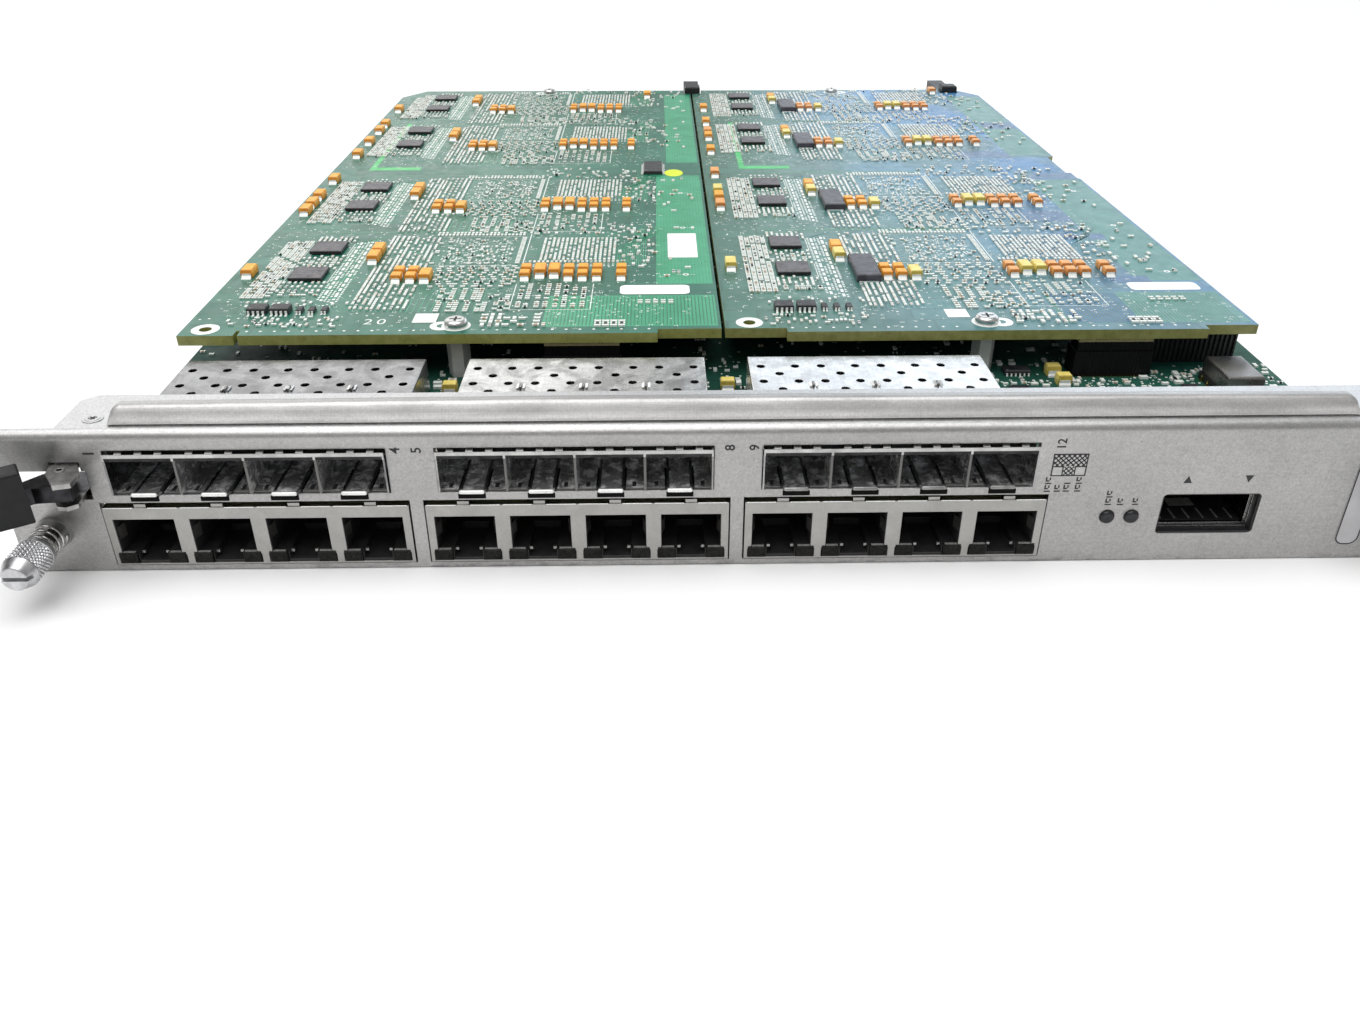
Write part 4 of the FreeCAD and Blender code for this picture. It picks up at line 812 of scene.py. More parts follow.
def capacitor(s, feet, x, y, wide, deep, tall, tone, land=1.2, z=TOP):
    """A moulded chip capacitor: drafted case in two halves, tin terminals on both ends, solder at both ends."""
    w = wide / 2
    y0, y1 = y + 0.1, y + deep - 0.1
    mid = z + tall * 0.55
    lo, hi = z + 0.12, z + tall
    d, c = 0.12, 0.2
    rings = [(w - d, y0 + d, y1 - d, lo), (w, y0, y1, mid - 0.05), (w, y0, y1, mid + 0.05),
             (w - d, y0 + d, y1 - d, hi - c), (w - d - c, y0 + d + c, y1 - d - c, hi)]
    v = []
    for hw, a, b, h in rings:
        v += [(x - hw, a, h), (x + hw, a, h), (x + hw, b, h), (x - hw, b, h)]
    # the end faces take the darker copies of the moulding as painted shade, the top and sides the lit tone
    dull, clear = [], [(3, 2, 1, 0), (16, 17, 18, 19)]
    for r in range(4):
        for i in range(4):
            j = (i + 1) % 4
            (dull if i in (0, 2) else clear).append((4 * r + i, 4 * r + j, 4 * r + 4 + j, 4 * r + 4 + i))
    k = len(s.v)
    s.put(v, clear, tone)
    s.f += [tuple(q + k for q in face) for face in dull]
    s.m += [4 + tone] * len(dull)
    s.s += [False] * len(dull)
    t = w * 0.76
    for a, b in ((y, y + 0.14), (y + deep - 0.14, y + deep)):
        s.box(x - t, x + t, a, b, z + 0.1, mid + 0.02, 3)
    t = w * 0.80
    for q, sg, reach in ((y, -1, land), (y + deep, 1, 0.7)):
        pts = [(q + sg * reach, z - 0.01), (q + sg * (reach - 0.08), z + 0.12), (q + sg * 0.36, z + 0.34),
               (q + sg * 0.02, z + 0.8), (q - sg * 0.02, z + 0.8), (q - sg * 0.02, z - 0.01)]
        feet.along_x(pts if sg > 0 else pts[::-1], x - t, x + t, 0)


caps_mats = [M["tantalum"], M["tantalum_red"], M["tantalum_pale"], M["solder"], M["tantalum_dark"],
             M["tantalum_dark_red"], M["tantalum_dark_pale"]]
for side, (sx, rows) in enumerate(((0.0, LEFT_ROWS), (134.6, RIGHT_ROWS))):
    s, feet = Shape(), Shape()
    for x, y, wide, deep, tall, tone, land in cap_list(sx, rows, side):
        capacitor(s, feet, x, y, wide, deep, tall, tone, land)
    word = ("left", "right")[side]
    piece(s, "capacitors_" + word, caps_mats, stands_for=["tantalum_capacitors_" + word])
    piece(feet, word + "_capacitor_solder", [M["solder"]])

# memory chips: thin ball-grid packages with a pin-one dimple
for side, (x0, fronts) in enumerate(((-117.8, LEFT_MEM), (15.9, RIGHT_MEM))):
    s = Shape()
    for y in fronts:
        y += 1.5
        s.block(x0, x0 + 9.2, y, y + 9.4, TOP + 0.32, TOP + 1.19, 0.14, 0, 0.03)
        s.box(x0 + 0.15, x0 + 9.05, y + 0.15, y + 9.25, TOP + 0.24, TOP + 0.34, 3)
        s.disc(x0 + 1.0, y + 1.1, 0.42, TOP + 1.18, TOP + 1.198, 16, 1)
        for i in range(3):
            a, b = dice.uniform(1.6, 2.6), dice.uniform(6.4, 7.8)
            s.box(x0 + a, x0 + b, y + 3.0 + 1.6 * i, y + 3.7 + 1.6 * i, TOP + 1.18, TOP + 1.196, 1)
        for i in range(8):
            for j in range(8):
                if i in (0, 7) or j in (0, 7):
                    s.disc(x0 + 0.85 + 1.07 * i, y + 0.9 + 1.09 * j, 0.24, TOP - 0.01, TOP + 0.26, 6, 2)
    word = ("left", "right")[side]
    piece(s, "memory_" + word, [M["memory"], M["chip_mark"], M["solder"], M["part_dark"]],
          stands_for=["memory_chips_" + word])

# small driver packages with gull-wing leads
s = Shape()


def leaded(s, x0, x1, y0, y1, z0, z1, board, n, lead=0.42, reach=0.55, ends="front_back", rise=0.62):
    s.block(x0, x1, y0, y1, z0, z1, 0.18, 0, 0.06)
    for i in range(n):
        if ends == "front_back":
            x = x0 + (x1 - x0) * (i + 0.5) / n
            for a, b, c, d in ((y0 - 0.28, y0 + 0.1, y0 - reach, y0 - 0.14), (y1 - 0.1, y1 + 0.28, y1 + 0.14, y1 + reach)):
                s.box(x - lead / 2, x + lead / 2, a, b, board + rise - 0.12, board + rise + 0.04, 1)
                k = (a + 0.02, a + 0.16) if c < a else (b - 0.16, b - 0.02)
                s.box(x - lead / 2, x + lead / 2, k[0], k[1], board + 0.02, board + rise, 1)
                s.box(x - lead / 2, x + lead / 2, c, d, board - 0.01, board + 0.14, 1)
        else:
            y = y0 + (y1 - y0) * (i + 0.5) / n
            for a, b, c, d in ((x0 - 0.28, x0 + 0.1, x0 - reach, x0 - 0.14), (x1 - 0.1, x1 + 0.28, x1 + 0.14, x1 + reach)):
                s.box(a, b, y - lead / 2, y + lead / 2, board + rise - 0.12, board + rise + 0.04, 1)
                k = (a + 0.02, a + 0.16) if c < a else (b - 0.16, b - 0.02)
                s.box(k[0], k[1], y - lead / 2, y + lead / 2, board + 0.02, board + rise, 1)
                s.box(c, d, y - lead / 2, y + lead / 2, board - 0.01, board + 0.14, 1)


for sx in (0.0, 134.0):
    for x in (-121.4, -115.6):
        leaded(s, x + sx, x + sx + 4.9, 69.4, 73.3, TOP + 0.15, TOP + 1.7, TOP, 4, 0.58, 1.3, rise=1.0)
        s.disc(x + sx + 0.9, 70.2, 0.3, TOP + 1.69, TOP + 1.712, 12, 2)
    for x in (-109.2, -106.1, -102.9):
        leaded(s, x + sx, x + sx + 1.6, 70.0, 73.0, TOP + 0.1, TOP + 1.1, TOP, 2, 0.5, 0.9, rise=0.7)
leaded(s, -22.0, -15.4, 204.4, 218.6, TOP + 0.1, TOP + 1.3, TOP, 16, 0.4, 0.9, "sides")
s.disc(-21.0, 205.6, 0.4, TOP + 1.29, TOP + 1.312, 12, 2)
piece(s, "drivers", [M["chip"], M["solder"], M["chip_mark"]], stands_for=["driver_chips"])

# shielded inductors: a bevelled case on a darker foot
s = Shape()
for ry in RIGHT_ROWS:
    s.block(36.9, 43.7, ry - 2.0, ry + 16.2, TOP + 0.35, TOP + 2.2, 0.3, 0, 0.08)
    s.box(37.1, 43.5, ry - 1.8, ry + 16.0, TOP - 0.01, TOP + 0.37, 1)
    for a in (ry - 2.0, ry + 14.9):
        s.box(37.6, 43.0, a, a + 1.3, TOP - 0.01, TOP + 0.32, 2)
piece(s, "inductors", [M["ferrite"], M["part_dark"], M["solder"]], stands_for=["inductor_blocks"])


def dress_upper(side):
    """Tracks, pads, print and small parts over the whole top of one upper board."""
    sx = 134.0 if side else 0.0
    rows = RIGHT_ROWS if side else LEFT_ROWS
    mem = RIGHT_MEM if side else LEFT_MEM
    x0, x1 = (-0.6, 132.1) if side else (-134.2, -1.5)
    room = Room(x0, x1, 55.0, 358.0)
    p = Populate(room, TOP)
    # edges, corners and everything that is already there
    room.take(x0, x0 + 0.8, 55, 358)
    room.take(x1 - 0.8, x1, 55, 358)
    room.take(x0, x1, 55, 57.0)
    room.take(x0, x1, 355.8, 358)
    if side:
        room.take(x0, 14.9, 55, 59.3)
        room.take(118.4, x1, 55, 59.3)
        room.take(x1 - 3.6, x1, 195, 229)
        room.take(115.0, 125.0, 348, 358)
        room.take(x0, 4.4, 348, 358)
        room.take(123, x1, 341, 358)
    else:
        room.take(-18, x1, 55, 59.3)
        room.take(-121.2, -119.0, 55, 60)
        room.take(-5.4, x1, 348, 358)
        room.take(x0, x0 + 10, 341, 358)
    for x, y, wide, deep, tall, tone, land in cap_list(134.6 if side else 0.0, rows, side):
        room.take(x - 1.75, x + 1.75, y - land - 0.1, y + deep + 0.8)
    mx = 15.9 if side else -117.8
    for y in mem:
        room.take(mx - 0.3, mx + 9.5, y + 1.2, y + 11.2)
    if side:
        for ry in rows:
            room.take(36.5, 44.1, ry - 2.4, ry + 16.6)
    else:
        room.take(-23.2, -14.2, 203.8, 219.2)
    for a in (-121.4, -115.6):
        room.take(a + sx - 0.3, a + sx + 5.2, 67.9, 74.8)
    for a in (-109.2, -106.1, -102.9):
        room.take(a + sx - 0.3, a + sx + 1.9, 68.9, 74.1)
    for a, b, r in (((64.8, 61.3, 4.0), (64.8, 351.0, 4.0), (5.6, 62.0, 3.7)) if side else
                    ((-67.2, 61.2, 4.0), (-67.2, 351.0, 4.0), (-128.5, 59.9, 3.7))):
        room.take(a - r - (2.8 if r == 4.0 else 0), a + r, b - r, b + r)
    labels = ([(109.6, 128.4, 83.3, 89.2, 1.4), (56.0, 61.6, 64.6, 70.2, 0.15)] if side else
              [(-14.2, -5.6, 112.5, 135.0, 0.3), (-27.3, -8.7, 82.6, 89.5, 1.6), (-78.6, -72.7, 63.4, 69.5, 0.15)])
    paper = Shape()
    for a, b, c, d, r in labels:
        room.take(a - 0.2, b + 0.2, c - 0.2, d + 0.2)
        paper.rounded(a, b, c, d, r, TOP - 0.01, TOP + 0.09, 0)
    if not side:
        room.take(-14.8, -7.8, 201.4, 211.2)
        paper.disc(-11.3, 206.3, 3.3, TOP - 0.01, TOP + 0.08, 40, 1, 4.7)
        room.take(-91.3, -84.7, 62.0, 66.8)
        for ch, cx in (("2", -89.6), ("0", -86.3)):
            co, faces = figures(ch, 3.4, 0.035)
            p.print.put([(float(q[0]) + cx, float(q[1]) + 64.3, TOP + 0.018 + float(q[2])) for q in co], faces)
    piece(paper, ("left", "right")[side] + "_board_labels", [M["paper"], M["dot"]])

    # copper pours and the bare moat that lets light through
    pour = 0
    if side:
        p.pour(113.6, 131.3, 90.5, 195, pour)
        p.pour(116.0, 131.3, 229, 340, pour)
        p.pour(84.5, 131.3, 60.2, 82.0, pour)
    else:
        p.pour(-17.6, -2.3, 90.5, 203.0, pour)
        p.pour(-13.8, -2.3, 221, 346, pour)
        p.pour(-46.0, -2.3, 60.2, 81.8, pour)
    for i in range(48):
        a = (85.4 if side else -45.2) + 0.92 * i
        p.track([(a, 61.0), (a, 81.0)], 0.26, 2)
    p.pour(-121.4 + sx, -119.4 + sx, 216.0, 288.0, 3, 0.02)
    p.pour(-121.4 + sx, -103.0 + sx, 211.8, 216.0, 3, 0.02)
    for ry in rows:
        p.pour(-118.6 + sx, -56.5 + sx, ry + 44.6, ry + 46.4, 2)
    if side:
        # bare moats round the planes at the outer edge
        p.pour(106.6, 117.4, 89.4, 94.6, 4, 0.02)
        p.pour(104.0, 118.0, 127.0, 133.0, 4, 0.02)
        p.pour(99.0, 113.6, 146.0, 157.0, 4, 0.02)
        p.pour(110.0, 131.3, 196.0, 204.0, 4, 0.02)
        p.pour(96.0, 116.0, 226.0, 236.0, 4, 0.02)
        p.pour(118.0, 131.3, 274.0, 286.0, 4, 0.02)
        p.pour(86.0, 104.0, 60.6, 81.6, 4, 0.016)

    # mounting pads: plated rings and the figure-of-eight lands under the screws
    if side:
        p.pads.ring(5.6, 62.0, 1.55, 3.4, TOP - 0.01, TOP + 0.06, 40)
        pairs = ((64.8, 61.3), (64.8, 351.0))
        off = 2.8
    else:
        p.pads.ring(-128.5, 59.9, 1.55, 3.4, TOP - 0.01, TOP + 0.06, 40)
        pairs = ((-67.2, 61.2), (-67.2, 351.0))
        off = -2.7
    for a, b in pairs:
        p.pads.ring(a, b, 1.75, 3.6, TOP - 0.01, TOP + 0.06, 40)
        p.pads.ring(a + off * 1.35, b, 1.2, 2.9, TOP - 0.01, TOP + 0.045, 36)
        room.take(a + off * 1.35 - 3.1, a + off * 1.35 + 3.1, b - 3.1, b + 3.1)

    for r, ry in enumerate(rows):
        near = r < 2
        # memory block: small parts in columns and rows round the two chips
        c1, c2 = mem[2 * r], mem[2 * r + 1]
        for x in (-126.2, -124.6, -123.0, -121.4, -119.8):
            y = c1 - 11.0
            while y < c2 + 14.0:
                if dice.random() < 0.88:
                    p.smd(x + sx, y, 0)
                y += 1.12
        for dy in (-9.2, -7.6, -6.0, -4.4, -2.8, -1.2, 0.3):
            for i in range(8):
                if dice.random() < 0.9:
                    p.smd(-118.4 + sx + 1.55 * i, c1 + dy, 1 if dy > -6.5 else 0)
        for dy in (11.9, 13.4, 14.9, 16.4, 17.9, 19.4, 20.9, 22.4):
            for i in range(8):
                if dice.random() < 0.86:
                    p.smd(-118.4 + sx + 1.55 * i, c1 + dy, 1 if dy < 14 or dy > 20 else i % 2)
        for dy in (11.9, 13.6, 15.2, 16.8):
            for i in range(8):
                if dice.random() < 0.84:
                    p.smd(-118.0 + sx + 1.5 * i, c2 + dy, 1)
        for x, w in ((-119.1, 0.22), (-106.9, 0.22)):
            p.line(x + sx, c1 + 0.6, x + sx, c1 + 11.8, w)
            p.line(x + sx, c2 + 0.6, x + sx, c2 + 11.8, w)
        # the bus between memory and processor: columns of bare pads on parallel tracks
        for i in range(6):
            x = -106.2 + sx + 1.04 * i
            p.track([(x, c1 - 12.0), (x, c2 + 12.0 + 0.8 * i), (x + 2.2, c2 + 14.2 + 0.8 * i)], 0.3, 0, 0.03)
            y = c1 - 12.0 - 0.6 * i
            while y < c2 + 13.0:
                if i in (1, 4):
                    p.dash(x, y, 0.78, 1.0, 0.03)
                elif dice.random() < 0.8:
                    p.dash(x, y, 0.6, 0.62)
                y += 1.14 if i in (1, 4) else 1.3
        # columns of terminations and vias
        for x in (-96.2, -95.0, -93.4, -91.8, -90.6, -88.9, -87.2, -85.6, -84.0, -82.4):
            y = ry - 20.0 + dice.random()
            while y < ry + 41:
                if dice.random() < 0.80:
                    p.smd(x + sx, y, 1)
                y += 1.6
        # processor field: via grid, combs of pads round it, dash rows in front of it
        for i in range(24):
            p.smd(-83.3 + sx + 1.12 * i, ry + 41.6, 1, "02", 3)
            if dice.random() < 0.8:
                p.smd(-83.3 + sx + 1.12 * i, ry + 43.4, 1, "02", 3)
        for j in range(20):
            p.smd(-81.2 + sx, ry + 15.6 + 1.2 * j, 0, "02", 3)
            p.smd(-57.0 + sx, ry + 15.6 + 1.2 * j, 0, "02", 3)
        for _ in range(64):
            a, b = -78.6 + sx + dice.random() * 19, ry + 16 + dice.random() * 21
            q, c = dice.choice((0.3, 0.785, 1.571, 2.356)), 0.5 + dice.random() * 0.7
            p.line(a - c * math.cos(q), b - c * math.sin(q), a + c * math.cos(q), b + c * math.sin(q), 0.2)
        for _ in range(60):
            p.smd(-79.0 + sx + dice.random() * 20, ry + 15 + dice.random() * 23, dice.choice((0, 1)))
        for i in range(20):
            for j in range(23):
                if dice.random() < 0.34:
                    p.via(-79.0 + sx + 1.0 * i, ry + 15.4 + 1.0 * j, 0.33)
        for k, dy in enumerate((-3.6, -1.8, 0.0, 1.8, 3.6, 5.4, 7.2, 9.0, 10.8, 12.4)):
            for i in range(16):
                if dice.random() < 0.88:
                    p.smd(-78.4 + sx + 1.46 * i + 0.5 * (k % 2), ry + dy, 0)
        for dy in (-21.6, -20.3, -19.0, -17.4, -16.1, -14.8, -13.2, -11.9, -10.6, -9.0, -7.6, -5.8):
            wide = 13 if dy < -10 else 9
            for i in range(wide):
                if dice.random() < 0.86:
                    p.smd(-74.4 + sx + 1.48 * i + (dy < -15) * 0.5, ry + dy, 0)
        p.line(-55.4 + sx, ry + 14.5, -55.4 + sx, ry + 44.0, 0.3)
        p.line(-81.6 + sx, ry + 14.0, -57.0 + sx, ry + 14.0, 0.18)
        p.line(-82.0 + sx, ry + 40.4, -57.0 + sx, ry + 40.4, 0.18)
        # second field with dense columns
        for i in range(17):
            for j in range(12):
                if dice.random() < 0.92:
                    p.smd(-50.6 + sx + 1.3 * i, ry + 18.4 + 1.72 * j, 1)
        for i in range(22):
            p.via(-53.4 + sx + 1.24 * i, ry + 13.2, 0.36)
            p.via(-53.4 + sx + 1.24 * i, ry + 14.6, 0.34)
            if dice.random() < 0.9:
                p.smd(-53.4 + sx + 1.24 * i, ry + 16.4, 1)
        # framed block in front of the capacitor row
        for x in (-55.4, -34.6):
            p.line(x + sx, ry - 20.6, x + sx, ry - 1.6, 0.24)
        p.line(-55.4 + sx, ry - 20.6, -34.6 + sx, ry - 20.6, 0.2)
        for x in (-53.4, -51.4, -48.6, -46.4, -43.8, -41.6, -39.2, -36.8):
            for j in range(12):
                y = ry - 19.0 + 1.5 * j
                if dice.random() < 0.66:
                    p.smd(x + sx, y, 0)
                elif dice.random() < 0.6:
                    p.via(x + sx, y, 0.3)
        # scattered parts between the rows and towards the inner edge
        for _ in range(60):
            p.smd(-29.6 + sx + dice.random() * 11.5, ry + 11 + dice.random() * 40, dice.choice((0, 1)),
                  dice.choice(("02", "03", "03")))
        for _ in range(44):
            p.smd(-57.0 + sx + dice.random() * 30, ry + 41 + dice.random() * 13, dice.choice((0, 1)),
                  dice.choice(("02", "02", "03")))
        for _ in range(16):
            p.smd(-17.0 + sx + dice.random() * 12, ry + dice.random() * 50, dice.choice((0, 1)), "03")
        p.smd(-53.0 + sx, ry + 45.6, 0, "05", 2)
        p.smd(-53.0 + sx, ry + 47.4, 0, "05", 2)
        for _ in range(420):
            p.mark(x0 + 1.5 + dice.random() * (x1 - x0 - 16), ry - 26 + dice.random() * 66)
        for _ in range(420):
            x = x0 + 1.5 + dice.random() * (x1 - x0 - 18)
            p.via(x, ry - 26 + dice.random() * 70, dice.choice((0.24, 0.28, 0.34)))
        # fan-out tracks with 45 degree bends
        for i in range(16):
            a = -30.0 + sx + 0.62 * i
            y = ry + 12 + dice.random() * 4
            p.track([(a, y), (a, y + 12 + i), (a + 6, y + 18 + i), (a + 6, y + 30 + dice.random() * 6)], 0.2, 0)
        for i in range(14):
            a = -80.0 + sx + 1.55 * i
            p.track([(a, ry - 6), (a - 3, ry - 9), (a - 3, ry - 22)], 0.2, 0)
    # front strip: terminations, arrays and tags
    for _ in range(70):
        p.smd(-125.0 + sx + dice.random() * 28, 60.5 + dice.random() * 7, dice.choice((0, 1)))
    for _ in range(40):
        p.smd(-124.0 + sx + dice.random() * 30, 75.0 + dice.random() * 4, 1)
    for i in range(9):
        for j in range(4):
            if dice.random() < 0.8:
                p.smd(-60.8 + sx + 1.9 * i, 61.0 + 2.2 * j, dice.choice((0, 1)), "03")
    for i in range(4):
        for j in range(3):
            p.smd(-32.2 + sx + 2.0 * i, 60.2 + 1.4 * j, 0, "03", 2 if j == 1 else 3, 0.02)
    for i in range(5):
        for j in range(2):
            p.smd(-21.8 + sx + 2.0 * i, 76.0 + 1.5 * j, 0, "02", 3)
    for i in range(30):
        p.via(-118.0 + sx + 3.4 * i, 58.4, 0.4)
    for _ in range(220):
        p.mark(x0 + 2 + dice.random() * (x1 - x0 - 4), 58.5 + dice.random() * 34)
    # alignment crosses on the inner strip
    for y in (98.0, 141.0, 180.0, 262.0, 318.0):
        x = -9.4 + sx
        if not side and 110 < y < 137:
            continue
        p.pads.ring(x, y, 0.45, 0.9, TOP - 0.01, TOP + 0.05, 20)
        p.line(x - 2.6, y, x - 1.2, y, 0.16)
        p.line(x + 1.2, y, x + 2.6, y, 0.16)
    word = ("left", "right")[side]
    piece(p.parts, word + "_board_parts", [M["solder"], M["part_tan"], M["part_dark"], M["part_grey"]])
    piece(p.pads, word + "_board_pads", [M["solder"]])
    piece(p.print, word + "_board_print", [M["ink"]])
    piece(p.tracks, word + "_board_tracks",
          [M["track_b" if side else "track"], M["track_pale"], M["dark_mask"], M["clear"], M["dark_b"]])


dress_upper(0)
dress_upper(1)


# ---------------------------------------------------------- main board, both faces
MAIN_TOP, MAIN_LOW = 17.96, 15.56


def dress_main():
    room = Room(-138.9, 138.9, 2.6, 383.0)
    room.take(-138.9, 138.9, 2.6, 4)
    for k in range(3):
        c = -101.1 + 66.8 * k
        room.take(c - 28.8, c + 28.8, 2.6, 49.6)
    for x, y in ((-36, 59.3), (96.6, 59.3), (-30, 200), (-104, 212), (103, 200), (30, 212)):
        room.take(x - 10.2, x + 10.2, y - 3.5, y + 3.5)
    for x, y in ((-68.1, 49.6), (-0.2, 50.4), (82.3, 57.6), (83.3, 51.9)):
        room.take(x - 2.0, x + 2.0, y - 2.8, y + 2.6)
    for x, y in ((-67.2, 61.2), (-67.2, 351.0), (64.8, 61.3), (64.8, 351.0)):
        room.take(x - 3.4, x + 3.4, y - 3.4, y + 3.4)
    for x, y, a, b, c in SMALL:
        room.take(x - a / 2 - 1.0, x + a / 2 + 1.0, y - b / 2 - 1.0, y + b / 2 + 1.0)
    room.take(118, 129, 40.6, 56)
    room.take(107.6, 132.0, 63.4, 72.0)
    for gx in (-0.5, 120.0):
        room.take(gx - 4, gx + 4, 349, 383)
    p = Populate(room, MAIN_TOP)
    for x0, x1, y0, y1, n in ((-72.4, -62.8, 10, 68, 70), (-5.4, 3.6, 10, 68, 70), (61.6, 138, 5, 68, 420),
                              (62.0, 137, 28, 58, 520),
                              (-138, -130.2, 10, 68, 50), (-138, 138, 68, 360, 900)):
        for _ in range(n):
            p.smd(x0 + dice.random() * (x1 - x0), y0 + dice.random() * (y1 - y0), dice.choice((0, 1)),
                  dice.choice(("02", "02", "03", "05")))
        for _ in range(n):
            p.via(x0 + dice.random() * (x1 - x0), y0 + dice.random() * (y1 - y0), dice.choice((0.26, 0.34, 0.42)))
        for _ in range(n // 2):
            p.mark(x0 + dice.random() * (x1 - x0), y0 + dice.random() * (y1 - y0))
    for i in range(9):
        p.via(66.0 + 2.0 * i, 43.0, 0.55)
        p.via(104.0 + 1.6 * i, 56.5, 0.5)
    for i in range(26):
        a = 63.0 + 1.1 * i
        p.track([(a, 6.0), (a, 20.0 + 0.6 * i), (a + 4.0, 24.0 + 0.6 * i)], 0.24, 0)
        p.track([(104 + 1.1 * i, 8.0), (104 + 1.1 * i, 30.0 + (i % 5))], 0.22, 0)
    piece(p.parts, "main_board_top_parts", [M["solder"], M["part_tan"], M["part_dark"], M["part_grey"]])
    piece(p.pads, "main_board_top_pads", [M["solder"]])
    piece(p.print, "main_board_top_print", [M["ink"]])
    piece(p.tracks, "main_board_top_tracks", [M["dark_track"]])

    # underside
    room = Room(-138.9, 138.9, 2.6, 383.0)
    for k in range(3):
        c = -101.1 + 66.8 * k
        room.take(c - 32.4, c + 32.4, 2.6, 28.0)
        room.take(c - 14.2, c + 14.2, 35.2, 63.8)
    room.take(88.6, 110.2, 2.6, 72.8)
    room.take(75.0, 86.0, 2.6, 12.8)
    for x, y in ((-95.0, 230.0), (95.0, 230.0), (0.0, 300.0)):
        room.take(x - 29.6, x + 29.6, y - 19.2, y + 19.2)
    room.take(-138, 129, 359.2, 383)
    p = Populate(room, MAIN_LOW, -1)
    for k in range(3):
        c = -101.1 + 66.8 * k
        for i in range(20):
            for j in range(20):
                if (i in (0, 1, 18, 19) or j in (0, 1, 18, 19)) and dice.random() < 0.8:
                    p.via(c - 17.6 + 1.85 * i, 31.9 + 1.85 * j, 0.36)
    for _ in range(1150):
        p.smd(-136.5 + dice.random() * 273, 30 + dice.random() * 326, dice.choice((0, 1)),
              dice.choice(("02", "03", "03", "05")))
    for _ in range(1500):
        p.via(-136.5 + dice.random() * 273, 14 + dice.random() * 344, dice.choice((0.3, 0.38, 0.5)))
    for _ in range(420):
        p.mark(-136.0 + dice.random() * 272, 30 + dice.random() * 326)
    for k in range(9):
        a = -128.0 + 30.0 * k
        for i in range(9):
            p.track([(a + 0.9 * i, 66.0 + i), (a + 0.9 * i, 150.0 - 2 * i), (a + 8 + 0.9 * i, 158.0 - 2 * i),
                     (a + 8 + 0.9 * i, 208.0 + 3 * i)], 0.26, 0)
        for i in range(7):
            p.track([(a + 1.0 * i, 262.0 + 2 * i), (a + 1.0 * i, 357.0)], 0.26, 0)
    piece(p.parts, "main_board_under_parts", [M["solder"], M["part_tan"], M["part_dark"], M["part_grey"]])
    piece(p.pads, "main_board_under_pads", [M["solder"]])
    piece(p.print, "main_board_under_print", [M["ink"]])
    piece(p.tracks, "main_board_under_tracks", [M["dark_track"]])


M["dark_track"] = plain("mask_over_copper_c", lin(58, 122, 104), lin(74, 138, 118), 6.0, 0.0, (0.24, 0.36), 0.3, 0.05,
                        0.1, 0.02, spec=0.55).m
SMALL = ((-70.0, 44.5, 4.0, 4.0, 1.0), (-66.0, 36.0, 4.0, 6.0, 1.2), (-2.6, 44.0, 4.2, 5.0, 1.1),
         (-1.4, 34.0, 3.6, 6.0, 1.2), (73.4, 58.8, 7.4, 4.6, 1.4), (71.5, 47.5, 6.0, 4.0, 1.2),
         (78.0, 34.0, 12.0, 12.0, 1.4), (98.0, 38.0, 14.0, 14.0, 1.6), (113.6, 47.5, 5.0, 4.0, 1.2),
         (131.0, 32.0, 6.0, 8.0, 1.4), (-80.0, 66.0, 8.0, 8.0, 1.4), (-15.0, 66.0, 8.0, 8.0, 1.4))
dress_main()

s = Shape()
for x, y, a, b, c in SMALL:
    sides = "sides" if b > a else "front_back"
    n = max(3, int(max(a, b) / 1.1))
    leaded(s, x - a / 2 + 0.4, x + a / 2 - 0.4, y - b / 2 + 0.4, y + b / 2 - 0.4, MAIN_TOP + 0.1, MAIN_TOP + c, MAIN_TOP, n,
           0.4, 0.4, sides)
    s.disc(x - a / 2 + 1.1, y - b / 2 + 1.1, 0.28, MAIN_TOP + c - 0.01, MAIN_TOP + c + 0.012, 12, 2)
for x in (-101.1, -34.3, 32.5):
    for z0, z1, e, m in ((MAIN_LOW - 0.72, MAIN_LOW - 0.3, 0.0, 3), (MAIN_LOW - 1.9, MAIN_LOW - 0.7, 0.9, 0)):
        s.box(x - 13.5 + e, x + 13.5 - e, 36 + e, 63 - e, z0, z1, m)
    s.box(x - 9.5, x + 9.5, 40, 59, MAIN_LOW - 2.2, MAIN_LOW - 1.88, 4)
    for i in range(18):
        for j in range(18):
            if i in (0, 17) or j in (0, 17):
                s.disc(x - 12.6 + 1.482 * i, 36.9 + 1.482 * j, 0.3, MAIN_LOW - 0.32, MAIN_LOW + 0.01, 6, 1)
piece(s, "main_board_packages", [M["chip"], M["solder"], M["chip_mark"], M["dark_mask"], M["steel"]],
      stands_for=["main_board_chips"])

s, feet = Shape(), Shape()
for x, y in ((-68.1, 49.6), (-0.2, 50.4), (82.3, 57.6), (83.3, 51.9)):
    capacitor(s, feet, x, y - 1.4, 3.6, 3.0, 2.8, 2, 0.4, MAIN_TOP)
piece(s, "main_board_yellow_caps", caps_mats, stands_for=["main_board_capacitors"])
piece(feet, "main_board_cap_solder", [M["solder"]])

# a ribbed black guide between the boards beside the front right plug
s = Shape()
s.box(108.6, 131.0, 64.8, 71.2, MAIN_TOP - 0.01, 28.19)
for i in range(18):
    s.box(109.2 + 1.25 * i, 109.7 + 1.25 * i, 64.3, 64.85, MAIN_TOP + 0.6, 27.4)
piece(s, "stack_guide", [M["black"]])

